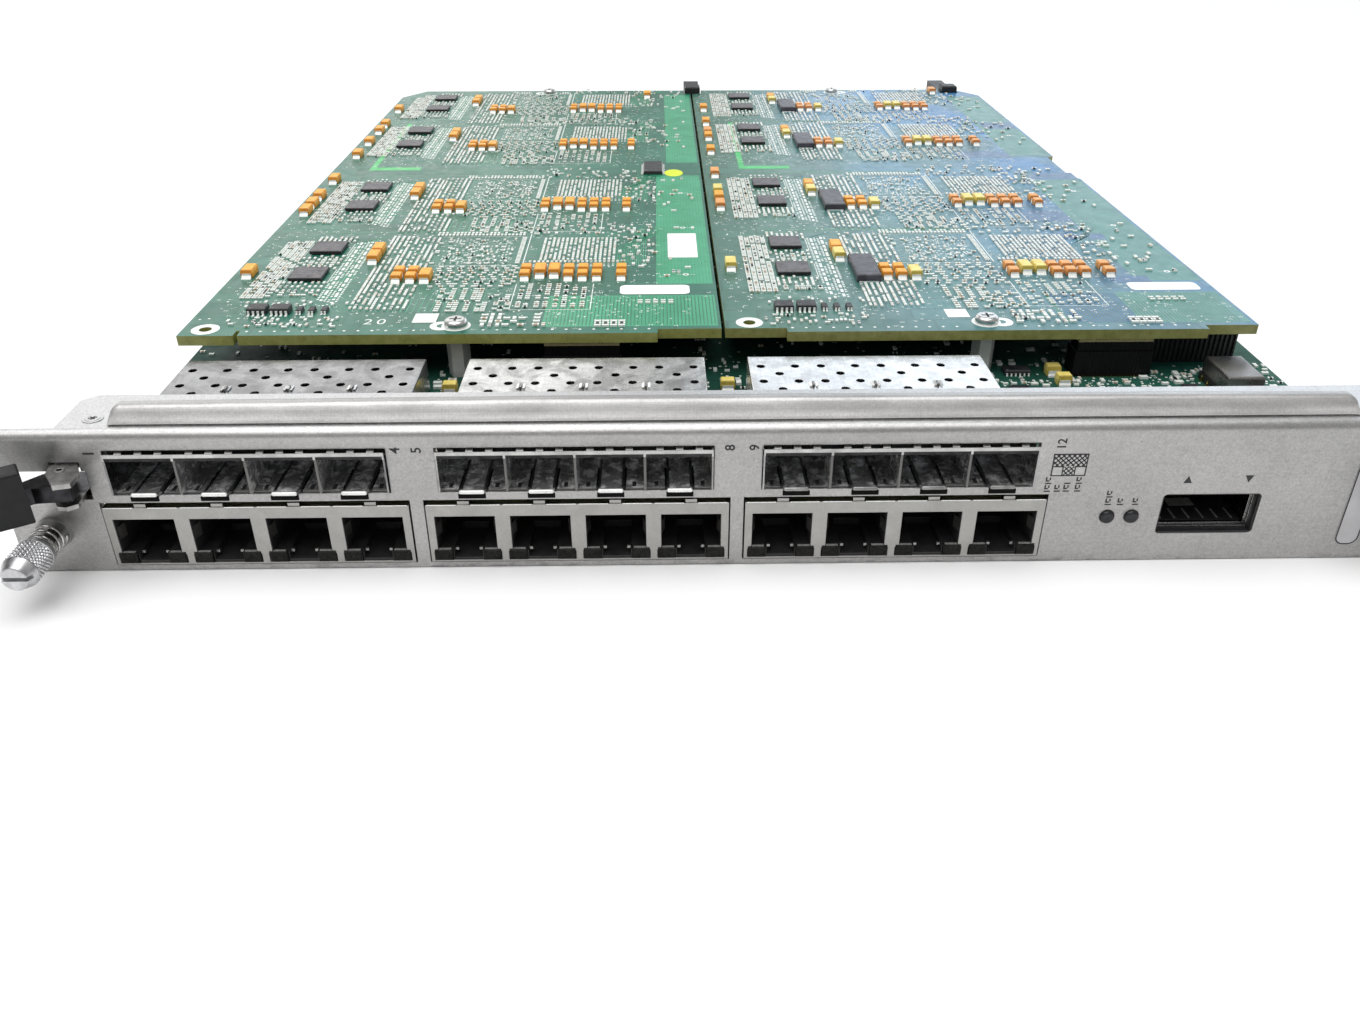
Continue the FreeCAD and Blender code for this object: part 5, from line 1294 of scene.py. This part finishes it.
# contacts along the board-to-board plugs, oscillator pins, rear connector pins
s = Shape()
for x, y in ((-36.0, 59.3), (96.6, 59.3), (-30.0, 200.0), (-104.0, 212.0), (103.0, 200.0), (30.0, 212.0)):
    for i in range(20):
        a = x - 7.6 + 0.8 * i
        for sg in (-1, 1):
            s.box(a - 0.16, a + 0.16, y + sg * 2.85 - 0.24, y + sg * 2.85 + 0.24, 27.9, 28.21, 0)
            s.box(a - 0.16, a + 0.16, y + sg * 3.35 - 0.24, y + sg * 3.35 + 0.24, MAIN_TOP - 0.01, MAIN_TOP + 0.24, 0)
for i in range(4):
    y = 43.2 + 3.3 * i
    s.box(117.9, 118.62, y - 0.3, y + 0.3, MAIN_TOP - 0.01, MAIN_TOP + 0.5, 0)
    s.box(118.38, 118.62, y - 0.3, y + 0.3, MAIN_TOP + 0.4, MAIN_TOP + 1.5, 0)
    s.box(128.38, 129.1, y - 0.3, y + 0.3, MAIN_TOP - 0.01, MAIN_TOP + 0.5, 0)
    s.box(128.38, 128.62, y - 0.3, y + 0.3, MAIN_TOP + 0.4, MAIN_TOP + 1.5, 0)
for bx in (-112.0, -56.0, 0.0, 56.0):
    for i in range(22):
        for j in range(5):
            s.box(bx - 21.2 + 2.02 * i - 0.22, bx - 21.2 + 2.02 * i + 0.22, 378.95, 382.6, 3.6 + 2.05 * j - 0.22,
                  3.6 + 2.05 * j + 0.22, 0)
for i in range(7):
    s.box(97.0 + 4.5 * i, 98.8 + 4.5 * i, 376.9, 382.0, 5.0, 12.0, 1)
piece(s, "contact_pins", [M["gold"], M["steel"]])

# ------------------------------------------------------------- faceplate print
s = Shape()


def on_face(s, co, faces, x, z, turn, mat=0):
    """Lay flat artwork on the front of the faceplate, turned about its own centre."""
    c, d = math.cos(turn), math.sin(turn)
    v = []
    for a, b, h in co:
        u, w = a * c - b * d, a * d + b * c
        v.append((x + float(u), -0.012 - float(h), z + float(w)))
    s.put(v, faces, mat)


quarter = math.pi / 2
for text, x, z, high in (("1", -132.2, 28.2, 2.3), ("4", -70.7, 28.3, 2.1), ("5", -66.4, 28.3, 2.1), ("8", -2.7, 28.3, 2.1),
                         ("9", 2.3, 28.3, 2.1), ("12", 65.2, 28.7, 1.9)):
    co, faces = figures(text, high, 0.02, 0.018)
    on_face(s, co, faces, x, z, quarter)


def flat(s, x0, x1, z0, z1, mat=0, out=0.045):
    s.box(x0, x1, -out, 0.01, z0, z1, mat)


def tag(x, z, n, wide=1.3):
    """A small upright tag of strokes that spell nothing."""
    for i in range(n):
        a = z + 0.62 * i
        if i % 3 == 0:
            flat(s, x - wide / 2, x + wide / 2, a, a + 0.28)
        elif i % 3 == 1:
            flat(s, x - wide / 2, x + wide * 0.1, a, a + 0.28)
        else:
            flat(s, x - wide / 2, x - wide / 2 + 0.3, a - 0.3, a + 0.4)
            flat(s, x + wide * 0.1, x + wide * 0.1 + 0.28, a - 0.3, a + 0.3)


# legend: a framed block with a hatched T on white
lx0, lx1, lz0, lz1 = 64.0, 71.3, 20.95, 26.2
flat(s, lx0 + 0.05, lx1 - 0.05, lz0 + 0.05, lz1 - 0.05, 1, 0.02)
cut0, cut1 = lx0 + 2.5, lx1 - 2.5
for a, b, c, d in ((lx0, lx1, lz1 - 0.28, lz1), (lx0, lx1, lz0, lz0 + 0.26), (lx0, lx0 + 0.28, lz0, lz1),
                   (lx1 - 0.28, lx1, lz0, lz1), (lx0, cut0, lz0 + 2.1, lz0 + 2.36), (cut1, lx1, lz0 + 2.1, lz0 + 2.36),
                   (cut0 - 0.26, cut0, lz0, lz0 + 2.3), (cut1, cut1 + 0.26, lz0, lz0 + 2.3)):
    flat(s, a, b, c, d)


def hatch(s, x0, x1, z0, z1, step=1.1, w=0.36):
    for sg in (1, -1):
        k = -(z1 - z0)
        while k < x1 - x0:
            pts = []
            a, b = max(0.0, k), min(x1 - x0, k + z1 - z0)
            if b - a > 0.05:
                za, zb = a - k, b - k
                if sg < 0:
                    za, zb = z1 - z0 - za, z1 - z0 - zb
                xa, xb = x0 + a, x0 + b
                za, zb = z0 + za, z0 + zb
                dx, dz = xb - xa, zb - za
                q = w / 2 / math.hypot(dx, dz)
                nx, nz = -dz * q, dx * q
                for px, pz in ((xa - nx, za - nz), (xb - nx, zb - nz), (xb + nx, zb + nz), (xa + nx, za + nz)):
                    pts.append((min(max(px, x0), x1), min(max(pz, z0), z1)))
                v = [(px, -0.04, pz) for px, pz in pts] + [(px, 0.01, pz) for px, pz in pts]
                fc = [(0, 1, 2, 3), (7, 6, 5, 4), (0, 4, 5, 1), (1, 5, 6, 2), (2, 6, 7, 3), (3, 7, 4, 0)]
                s.put(v, fc)
            k += step


hatch(s, lx0 + 0.2, lx1 - 0.2, lz0 + 2.3, lz1 - 0.2)
hatch(s, cut0, cut1, lz0 + 0.15, lz0 + 2.3)
# plain tags under the legend and over the lights, pointers over the optics port
for x, z, k in ((63.9, 17.2, 6), (66.0, 17.2, 3), (67.9, 17.2, 4), (70.3, 17.2, 6), (77.4, 13.8, 6), (80.0, 13.8, 3),
                (83.2, 13.8, 3)):
    tag(x, z, k)
for x, up in ((93.2, 1), (106.0, -1)):
    v = [(x - 0.9, 19.0), (x + 0.9, 19.0), (x, 20.7)] if up > 0 else [(x - 0.9, 20.7), (x, 19.0), (x + 0.9, 20.7)]
    s.put([(a, -0.03, b) for a, b in v] + [(a, 0.01, b) for a, b in v],
          [(0, 1, 2), (5, 4, 3), (0, 3, 4, 1), (1, 4, 5, 2), (2, 5, 3, 0)])
piece(s, "face_print", [M["ink_black"], M["legend"]])

def rolled(s, m, half, y, z, ry, rz, mat, n=14):
    """A short rolled edge along x whose ends round off."""
    v, fc = [], []
    ends = ((1.0, 0.35), (0.975, 0.72), (0.92, 0.93), (0.84, 1.0))
    rows = [(-t, q) for t, q in ends] + [(t, q) for t, q in reversed(ends)]
    for t, q in rows:
        for i in range(n):
            a = 2 * math.pi * i / n
            v.append((m + half * t, y + ry * q * math.cos(a), z + rz * q * math.sin(a)))
    for k in range(len(rows) - 1):
        fc += [(k * n + i, k * n + (i + 1) % n, (k + 1) * n + (i + 1) % n, (k + 1) * n + i) for i in range(n)]
    last = (len(rows) - 1) * n
    fc += [tuple(reversed(range(n))), tuple(range(last, last + n))]
    s.put(v, fc, mat, True)


# bright rolled lips of the port latches, painted darker as shade in the right group, with a near-black sheet under each
# as the painted shadow below the lip, the strip in front of the spring fingers with dark bands under and behind it as
# painted shade, and the ends of the cage dividers folded over on top
s, band, deck = Shape(), Shape(), Shape()
for g, c in enumerate((-101.1, -34.3, 32.5)):
    for i in range(4):
        m = c + 14.25 * (i - 1.5)
        rolled(s, m, 2.6, -1.72, 19.42, 0.40, 0.46, 1 if g == 2 else 0)
        band.along_x([(-2.0, 18.12), (-1.88, 17.98), (-1.5, 17.98), (-1.5, 19.0), (-2.0, 19.0)], m - 2.8, m + 2.8, 1)
        # the latch tongue, cut free of the floor along both sides, and the ribs beside it
        deck.along_x([(-0.3, 19.1), (12.6, 18.86), (12.6, 18.98), (-0.3, 19.22)], m - 2.1, m + 2.1, 0)
        for sg in (-1, 1):
            deck.box(m + min(sg * 2.2, sg * 2.75), m + max(sg * 2.2, sg * 2.75), 0.7, 13.4, 18.79, 18.83, 1)
            for a in (4.0, 5.3):
                deck.box(m + min(sg * a, sg * (a + 0.36)), m + max(sg * a, sg * (a + 0.36)), 1.2, 6.4, 18.79, 18.95, 0)
            deck.box(m + min(sg * 4.0, sg * 5.66), m + max(sg * 4.0, sg * 5.66), 3.4, 4.2, 18.79, 18.93, 0)
            deck.box(m + min(sg * 4.4, sg * 5.2), m + max(sg * 4.4, sg * 5.2), 1.2, 3.2, 18.79, 18.82, 1)
    for j in (-1, 0, 1):
        m = c + 14.25 * j
        for dx in (-0.95, 0.45):
            low = [(m + dx, 31.2, 27.18), (m + dx + 0.6, 31.2, 27.36), (m + dx + 0.6, 33.6, 27.36), (m + dx, 33.6, 27.18)]
            s.put(low + [(a, b, z + 0.3) for a, b, z in low],
                  [(3, 2, 1, 0), (4, 5, 6, 7), (0, 1, 5, 4), (1, 2, 6, 5), (2, 3, 7, 6), (3, 0, 4, 7)], 2)
        band.box(m - 0.24, m + 0.24, -1.0, -0.79, 26.8, 27.52)
    for sg in (-1, 1):
        band.box(c + sg * 28.1 - 0.17, c + sg * 28.1 + 0.17, -1.0, -0.79, 26.8, 27.52)
    band.box(c - 28.2, c + 28.2, 1.78, 1.93, 27.18, 28.74, 2)
    band.box(c - 28.27, c + 28.27, -1.02, -0.79, 27.5, 28.3)
    band.box(c - 28.25, c + 28.25, -0.96, -0.79, 26.8, 27.51, 2)
piece(s, "port_latch_lips", [M["lip"], M["lip_dull"], M["bright_tin"]])
piece(band, "finger_strips", [M["strip_tin"], M["gap_dark"], M["port_dark"]])
piece(deck, "port_latch_tongues", [M["tin_in"], M["part_dark"]])

def front_block(s, x0, x1, z0, z1, y0, y1, c, mat=0):
    """A moulded block whose front edges are bevelled."""
    v = []
    for y, e in ((y1, 0.0), (y0 + c, 0.0), (y0, c)):
        v += [(x0 + e, y, z0 + e), (x1 - e, y, z0 + e), (x1 - e, y, z1 - e), (x0 + e, y, z1 - e)]
    fc = [(3, 2, 1, 0), (8, 9, 10, 11)]
    for r in (0, 4):
        fc += [(r + i, r + (i + 1) % 4, r + 4 + (i + 1) % 4, r + 4 + i) for i in range(4)]
    s.put(v, fc, mat)


# side springs and the moulded lens caps inside the copper ports, a pale painted glint along the top of each cap, the
# bright fold along the top of each shield
s, caps = Shape(), Shape()
for c in (-101.1, -34.3, 32.5):
    for i in range(4):
        m = c + 15.85 * (i - 1.5)
        for sg in (-1, 1):
            a = [(m + sg * 6.32, 0.25), (m + sg * 5.55, 2.6), (m + sg * 5.75, 2.7), (m + sg * 6.32, 1.0)]
            s.prism(a if sg < 0 else a[::-1], 7.4, 10.4, 0)
            front_block(caps, m + min(sg * 3.25, sg * 7.05), m + max(sg * 3.25, sg * 7.05), 1.9, 4.55, -0.62, 0.3, 0.22)
            # a pale painted glint along the top edge of each lens cap
            s.box(m + min(sg * 3.6, sg * 6.2), m + max(sg * 3.6, sg * 6.2), -0.34, 0.28, 4.5, 4.62, 1)
            s.box(m + min(sg * 2.2, sg * 2.9), m + max(sg * 2.2, sg * 2.9), 1.2, 1.9, 3.5, 4.1, 0)
        s.box(m - 7.6, m - 1.5, -0.36, -0.02, 15.42, 15.6, 2)
        s.box(m + 1.5, m + 7.6, -0.36, -0.02, 15.42, 15.6, 2)
piece(s, "copper_port_springs", [M["jack"], M["pale_mark_and_glint"], M["bright_tin"]])
piece(caps, "copper_port_lens_caps", [M["lens"]])

# a black liner in the optics port as painted shade, the two bright rims of its cage and its floor


def frame_of(s, x0, x1, z0, z1, w, y0, y1, r=0.0, mat=0):
    """A flat rectangular ring facing the front."""
    q, k = (x0, x1, z0, z1), (x0 + w, x1 - w, z0 + w, z1 - w)
    v = []
    for y in (y0, y1):
        for a, b, e, g in (q, k):
            v += [(a, y, e), (b, y, e), (b, y, g), (a, y, g)]
    fc = []
    for i in range(4):
        j = (i + 1) % 4
        fc += [(i, j, 4 + j, 4 + i), (8 + j, 8 + i, 12 + i, 12 + j), (j, i, 8 + i, 8 + j), (4 + i, 4 + j, 12 + j, 12 + i)]
    s.put(v, fc, mat)


s = Shape()
frame_of(s, 88.92, 109.78, 6.62, 16.28, 0.36, 0.35, 2.15, mat=1)
frame_of(s, 89.34, 109.36, 7.14, 15.48, 0.2, 2.05, 2.25, mat=0)
frame_of(s, 89.74, 108.96, 7.54, 15.08, 0.16, 2.7, 2.85, mat=0)
s.box(89.75, 108.95, 4.0, 33.0, 7.49, 7.6, 2)
for i in range(6):
    s.box(91.6 + 3.1 * i, 91.95 + 3.1 * i, 4.6, 8.6, 7.59, 7.72, 3)
s.box(95.6, 101.4, 10.0, 13.2, 7.59, 7.66, 3)
piece(s, "optics_port_rim", [M["bright_tin"], M["black"], M["housing"], M["pale_mark_and_glint"]])

# a thin dark border round the bare label
s = Shape()


def pill(x0, x1, z0, z1, r, n=8):
    pts = []
    for cx, cz, a0 in ((x1 - r, z1 - r, 0), (x0 + r, z1 - r, 90), (x0 + r, z0 + r, 180), (x1 - r, z0 + r, 270)):
        for i in range(n + 1):
            a = math.radians(a0 + 90 * i / n)
            pts.append((cx + r * math.cos(a), cz + r * math.sin(a)))
    return pts


outer, inner = pill(128.45, 133.45, 3.45, 29.45, 1.95), pill(128.75, 133.15, 3.75, 29.15, 1.65)
n = len(outer)
v = [(a, -0.17, b) for a, b in outer] + [(a, -0.17, b) for a, b in inner] + [(a, -0.13, b) for a, b in outer] + \
    [(a, -0.13, b) for a, b in inner]
fc = []
for i in range(n):
    j = (i + 1) % n
    fc += [(i, n + i, n + j, j), (2 * n + i, 2 * n + j, 3 * n + j, 3 * n + i), (i, j, 2 * n + j, 2 * n + i),
           (n + j, n + i, 3 * n + i, 3 * n + j)]
s.put(v, fc)
piece(s, "label_border", [M["ink_black"]])

# flush rivets at the two ends of the flange
s = Shape()
for x in (-132.6, 132.6):
    s.ring(x, 6.2, 0.0001, 2.1, 32.99, 33.12, 40, 0)
    s.ring(x, 6.2, 0.9, 1.5, 33.1, 33.2, 32, 0)
    for a in range(3):
        c, q = math.cos(math.radians(20 + 60 * a)), math.sin(math.radians(20 + 60 * a))
        s.put([(x + u * c - w * q, 6.2 + u * q + w * c, z) for z in (33.1, 33.17) for u, w in
               ((-0.85, -0.14), (0.85, -0.14), (0.85, 0.14), (-0.85, 0.14))],
              [(3, 2, 1, 0), (4, 5, 6, 7), (0, 1, 5, 4), (1, 2, 6, 5), (2, 3, 7, 6), (3, 0, 4, 7)], 1)
piece(s, "flange_rivets", [M["face"], M["neck"]])

# ------------------------------------------------------------------- gasket
# a strip of silvered cloth over foam: bulging sides, a crowned top, and a
# narrow adhesive foot that leaves a dark gap under its front edge
profile = [(3.15, 33.0), (8.3, 33.0), (8.35, 33.35), (8.82, 33.5), (8.92, 34.2), (8.85, 34.9), (8.6, 35.5), (8.1, 36.0),
           (7.4, 36.36), (6.5, 36.56), (5.8, 36.62), (5.2, 36.56), (4.75, 36.38), (4.4, 36.06), (3.9, 35.4), (3.4, 34.7),
           (2.95, 34.06), (2.62, 33.62), (2.55, 33.46), (2.68, 33.34), (3.1, 33.3)]
g0, g1, stations = -128.3, 127.0, 420
wob = random.Random(5)
phase = [(wob.uniform(0.02, 0.35), wob.uniform(0, 6.28), wob.uniform(0.01, 0.035)) for _ in range(16)]
s = Shape()
v, fc = [], []
n = len(profile)
for i in range(stations + 1):
    x = g0 + (g1 - g0) * i / stations
    w = sum(a * math.sin(k * x + q) for k, q, a in phase)
    w2 = sum(a * math.sin(1.7 * k * x + 2 * q) for k, q, a in phase)
    ends = 0.45 + 0.55 * math.sqrt(min(1.0, min(x - g0, g1 - x) / 1.8))
    for y, z in profile:
        lift = max(0.0, (z - 33.4) / 3.2)
        push = 1.0 if y < 5.6 else -1.0
        up = z + (0.22 * w - 0.02 + 0.5 * (1.0 - (x / 130.0) ** 2)) * lift ** 1.2
        v.append((x, min(8.95, max(2.45, y + push * (0.12 * w2 - 0.02) * lift)), 33.0 + (up - 33.0) * ends))
for i in range(stations):
    for j in range(n):
        k = (j + 1) % n
        fc.append((i * n + j, i * n + k, (i + 1) * n + k, (i + 1) * n + j))
s.put(v, fc, 0, True)
s.put(v[:n], [tuple(reversed(range(n)))], 0)
s.put(v[-n:], [tuple(range(n))], 0)
gasket = piece(s, "gasket_strip", [M["gasket"]], stands_for=["top_gasket"])

# --------------------------------------------------------- thumbscrews, springs


def thumbscrew(x0):
    """Knurled head with a bevelled front, plain neck and a cut thread, as one turned body."""
    z0, seg = 9.8, 168
    rings = [(-17.8, 0.0, "p"), (-17.8, 2.5, "p"), (-17.72, 2.64, "p"), (-15.2, 3.66, "p"), (-15.02, 3.68, "p")]
    for i in range(49):
        rings.append((-14.9 + 5.9 * i / 48, 3.8, "k"))
    rings += [(-8.92, 3.56, "p"), (-8.85, 3.72, "p"), (-8.1, 3.76, "p"), (-7.75, 3.45, "p"), (-7.7, 3.35, "p"),
              (-7.7, 1.3, "p"), (3.4, 1.3, "p")]
    for i in range(61):
        rings.append((3.6 + 5.0 * i / 60, 1.5, "t"))
    rings += [(8.8, 1.2, "p"), (9.0, 1.05, "p"), (9.0, 0.0, "p")]
    v, fc = [], []
    for y, r, kind in rings:
        for i in range(seg):
            a = 2 * math.pi * i / seg
            rr = r
            if kind == "k":
                t = 24 * a / (2 * math.pi)
                u, w = (t + y / 0.98) % 1.0, (t - y / 0.98) % 1.0
                rr = r - 0.36 * (1.0 - min(1.0, 2.3 * min(min(u, 1 - u), min(w, 1 - w))))
            elif kind == "t":
                u = (y / 0.5 - a / (2 * math.pi)) % 1.0
                rr = r - 0.28 * abs(2 * u - 1)
            v.append((x0 + rr * math.cos(a), y, z0 + rr * math.sin(a)))
    kinds = []
    for k in range(len(rings) - 1):
        neck = 1 if rings[k][1] == rings[k + 1][1] == 1.3 else 0
        for i in range(seg):
            j = (i + 1) % seg
            fc.append((k * seg + i, k * seg + j, (k + 1) * seg + j, (k + 1) * seg + i))
            kinds.append(neck)
    return v, fc, kinds


def slotted(ob, x0):
    """Cut the screwdriver slot across the head and merge the poles of the turned body."""
    import bmesh
    bm = bmesh.new()
    bm.from_mesh(ob.data)
    bmesh.ops.remove_doubles(bm, verts=bm.verts, dist=1e-7)
    bmesh.ops.dissolve_degenerate(bm, edges=bm.edges, dist=1e-7)
    bmesh.ops.recalc_face_normals(bm, faces=bm.faces)
    bm.to_mesh(ob.data)
    bm.free()
    cutter = bpy.data.meshes.new("slot")
    h = Shape()
    h.box(x0 - 6, x0 + 6, -24, -16.4, 9.35, 10.25)
    co = np.array(h.v, float) * MM
    co[:, 1] += FRONT
    cutter.from_pydata(co.tolist(), [], h.f)
    tool = bpy.data.objects.new("slot", cutter)
    bpy.context.scene.collection.objects.link(tool)
    mod = ob.modifiers.new("slot", "BOOLEAN")
    mod.operation = "DIFFERENCE"
    mod.solver = "EXACT"
    mod.object = tool
    bpy.context.view_layer.update()
    me = bpy.data.meshes.new_from_object(ob.evaluated_get(bpy.context.evaluated_depsgraph_get()))
    ob.modifiers.clear()
    old = ob.data
    ob.data = me
    bpy.data.meshes.remove(old)
    bpy.data.objects.remove(tool)
    bpy.data.meshes.remove(cutter)


for word, x0 in (("left", -144.0), ("right", 144.0)):
    s = Shape()
    v, fc, kinds = thumbscrew(x0)
    s.put(v, fc, 0, False)
    # the neck between head and thread takes the dark neck finish, painted shade inside the spring
    s.m = kinds
    ob = piece(s, word + "_knob", [M["knob"], M["neck"]], word + "_screw", [word + "_thumbscrew"])
    slotted(ob, x0)

    # coil spring of even pitch, the two ends of its wire capped
    s = Shape()
    turns, per, round_n = 3.0, 40, 12
    steps = int(turns * per)
    v, fc = [], []
    for i in range(steps + 1):
        t = i / steps
        y = -7.0 + 0.32 + (5.9 - 0.64) * t
        a = 2 * math.pi * turns * t * (1 if word == "left" else -1)
        cx, cz = math.cos(a), math.sin(a)
        for j in range(round_n):
            q = 2 * math.pi * j / round_n
            rr = 3.0 + 0.32 * math.cos(q)
            v.append((x0 + rr * cx, y + 0.32 * math.sin(q), 9.8 + rr * cz))
    for i in range(steps):
        for j in range(round_n):
            k = (j + 1) % round_n
            fc.append((i * round_n + j, (i + 1) * round_n + j, (i + 1) * round_n + k, i * round_n + k)
                      if word == "left" else
                      (i * round_n + j, i * round_n + k, (i + 1) * round_n + k, (i + 1) * round_n + j))
    s.put(v, fc, 0, True)
    first, last = tuple(range(round_n)), tuple(range(steps * round_n, (steps + 1) * round_n))
    s.put(v[:round_n], [first if word == "left" else tuple(reversed(first))], 0)
    s.put(v[-round_n:], [tuple(reversed(first)) if word == "left" else first], 0)
    ob = piece(s, word + "_spring", [M["spring"]], "root", [word + "_thumbscrew_spring"])
    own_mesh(ob)

# ------------------------------------------------------ camera, light and floor
scene = bpy.context.scene
cam = bpy.data.cameras.new("camera")
cam.sensor_width = 36.0
cam.sensor_fit = "HORIZONTAL"
cam.lens = 29.878
cam.clip_start = 0.01
cam.clip_end = 50.0
eye = bpy.data.objects.new("camera", cam)
eye.location = (-0.016687, FRONT - 0.20306, 0.13566)
eye.rotation_euler = (math.radians(90 - 31.0007), 0.0, math.radians(-1.0769))
scene.collection.objects.link(eye)
scene.camera = eye

me = bpy.data.meshes.new("floor")
me.from_pydata([(-4, -4, 0), (4, -4, 0), (4, 4, 0), (-4, 4, 0)], [], [(0, 1, 2, 3)])
floor = bpy.data.objects.new("floor", me)
f = Finish("floor_paper", rough=0.8, spec=0.2)
f.colour(f.mix(f.span(f.noise(180.0, 2.0), 0.3, 0.7), (0.92, 0.92, 0.92, 1), (0.94, 0.94, 0.94, 1)))
me.materials.append(f.m)
scene.collection.objects.link(floor)
floor.location.z = -0.0002

world = bpy.data.worlds.new("studio")
world.use_nodes = True
world.node_tree.nodes["Background"].inputs["Color"].default_value = (1.0, 1.0, 1.0, 1.0)
world.node_tree.nodes["Background"].inputs["Strength"].default_value = 0.46
scene.world = world


def area(name, at, to, wide, high, power, tint=(1.0, 1.0, 1.0)):
    l = bpy.data.lights.new(name, "AREA")
    l.shape = "RECTANGLE"
    l.size, l.size_y = wide, high
    l.energy = power
    l.color = tint
    o = bpy.data.objects.new(name, l)
    o.location = at
    o.rotation_euler = (Vector(to) - Vector(at)).to_track_quat("-Z", "Y").to_euler()
    o.visible_camera = False
    scene.collection.objects.link(o)
    return o


# a broad soft light overhead, a large cool window low behind on the right, a pale wall behind on the left
area("overhead", (-0.25, -0.3, 1.45), (0, 0.02, 0), 1.7, 1.7, 25.0)
area("window", (1.25, 1.75, 0.75), (0.0, 0.0, 0.0), 2.6, 1.2, 12.0, (0.80, 0.90, 1.0))
area("wall", (-0.98, 1.75, 0.85), (0.0, 0.0, 0.0), 1.8, 1.3, 7.0)

scene.view_settings.view_transform = "Standard"
scene.view_settings.look = "None"
scene.view_settings.exposure = 0.0
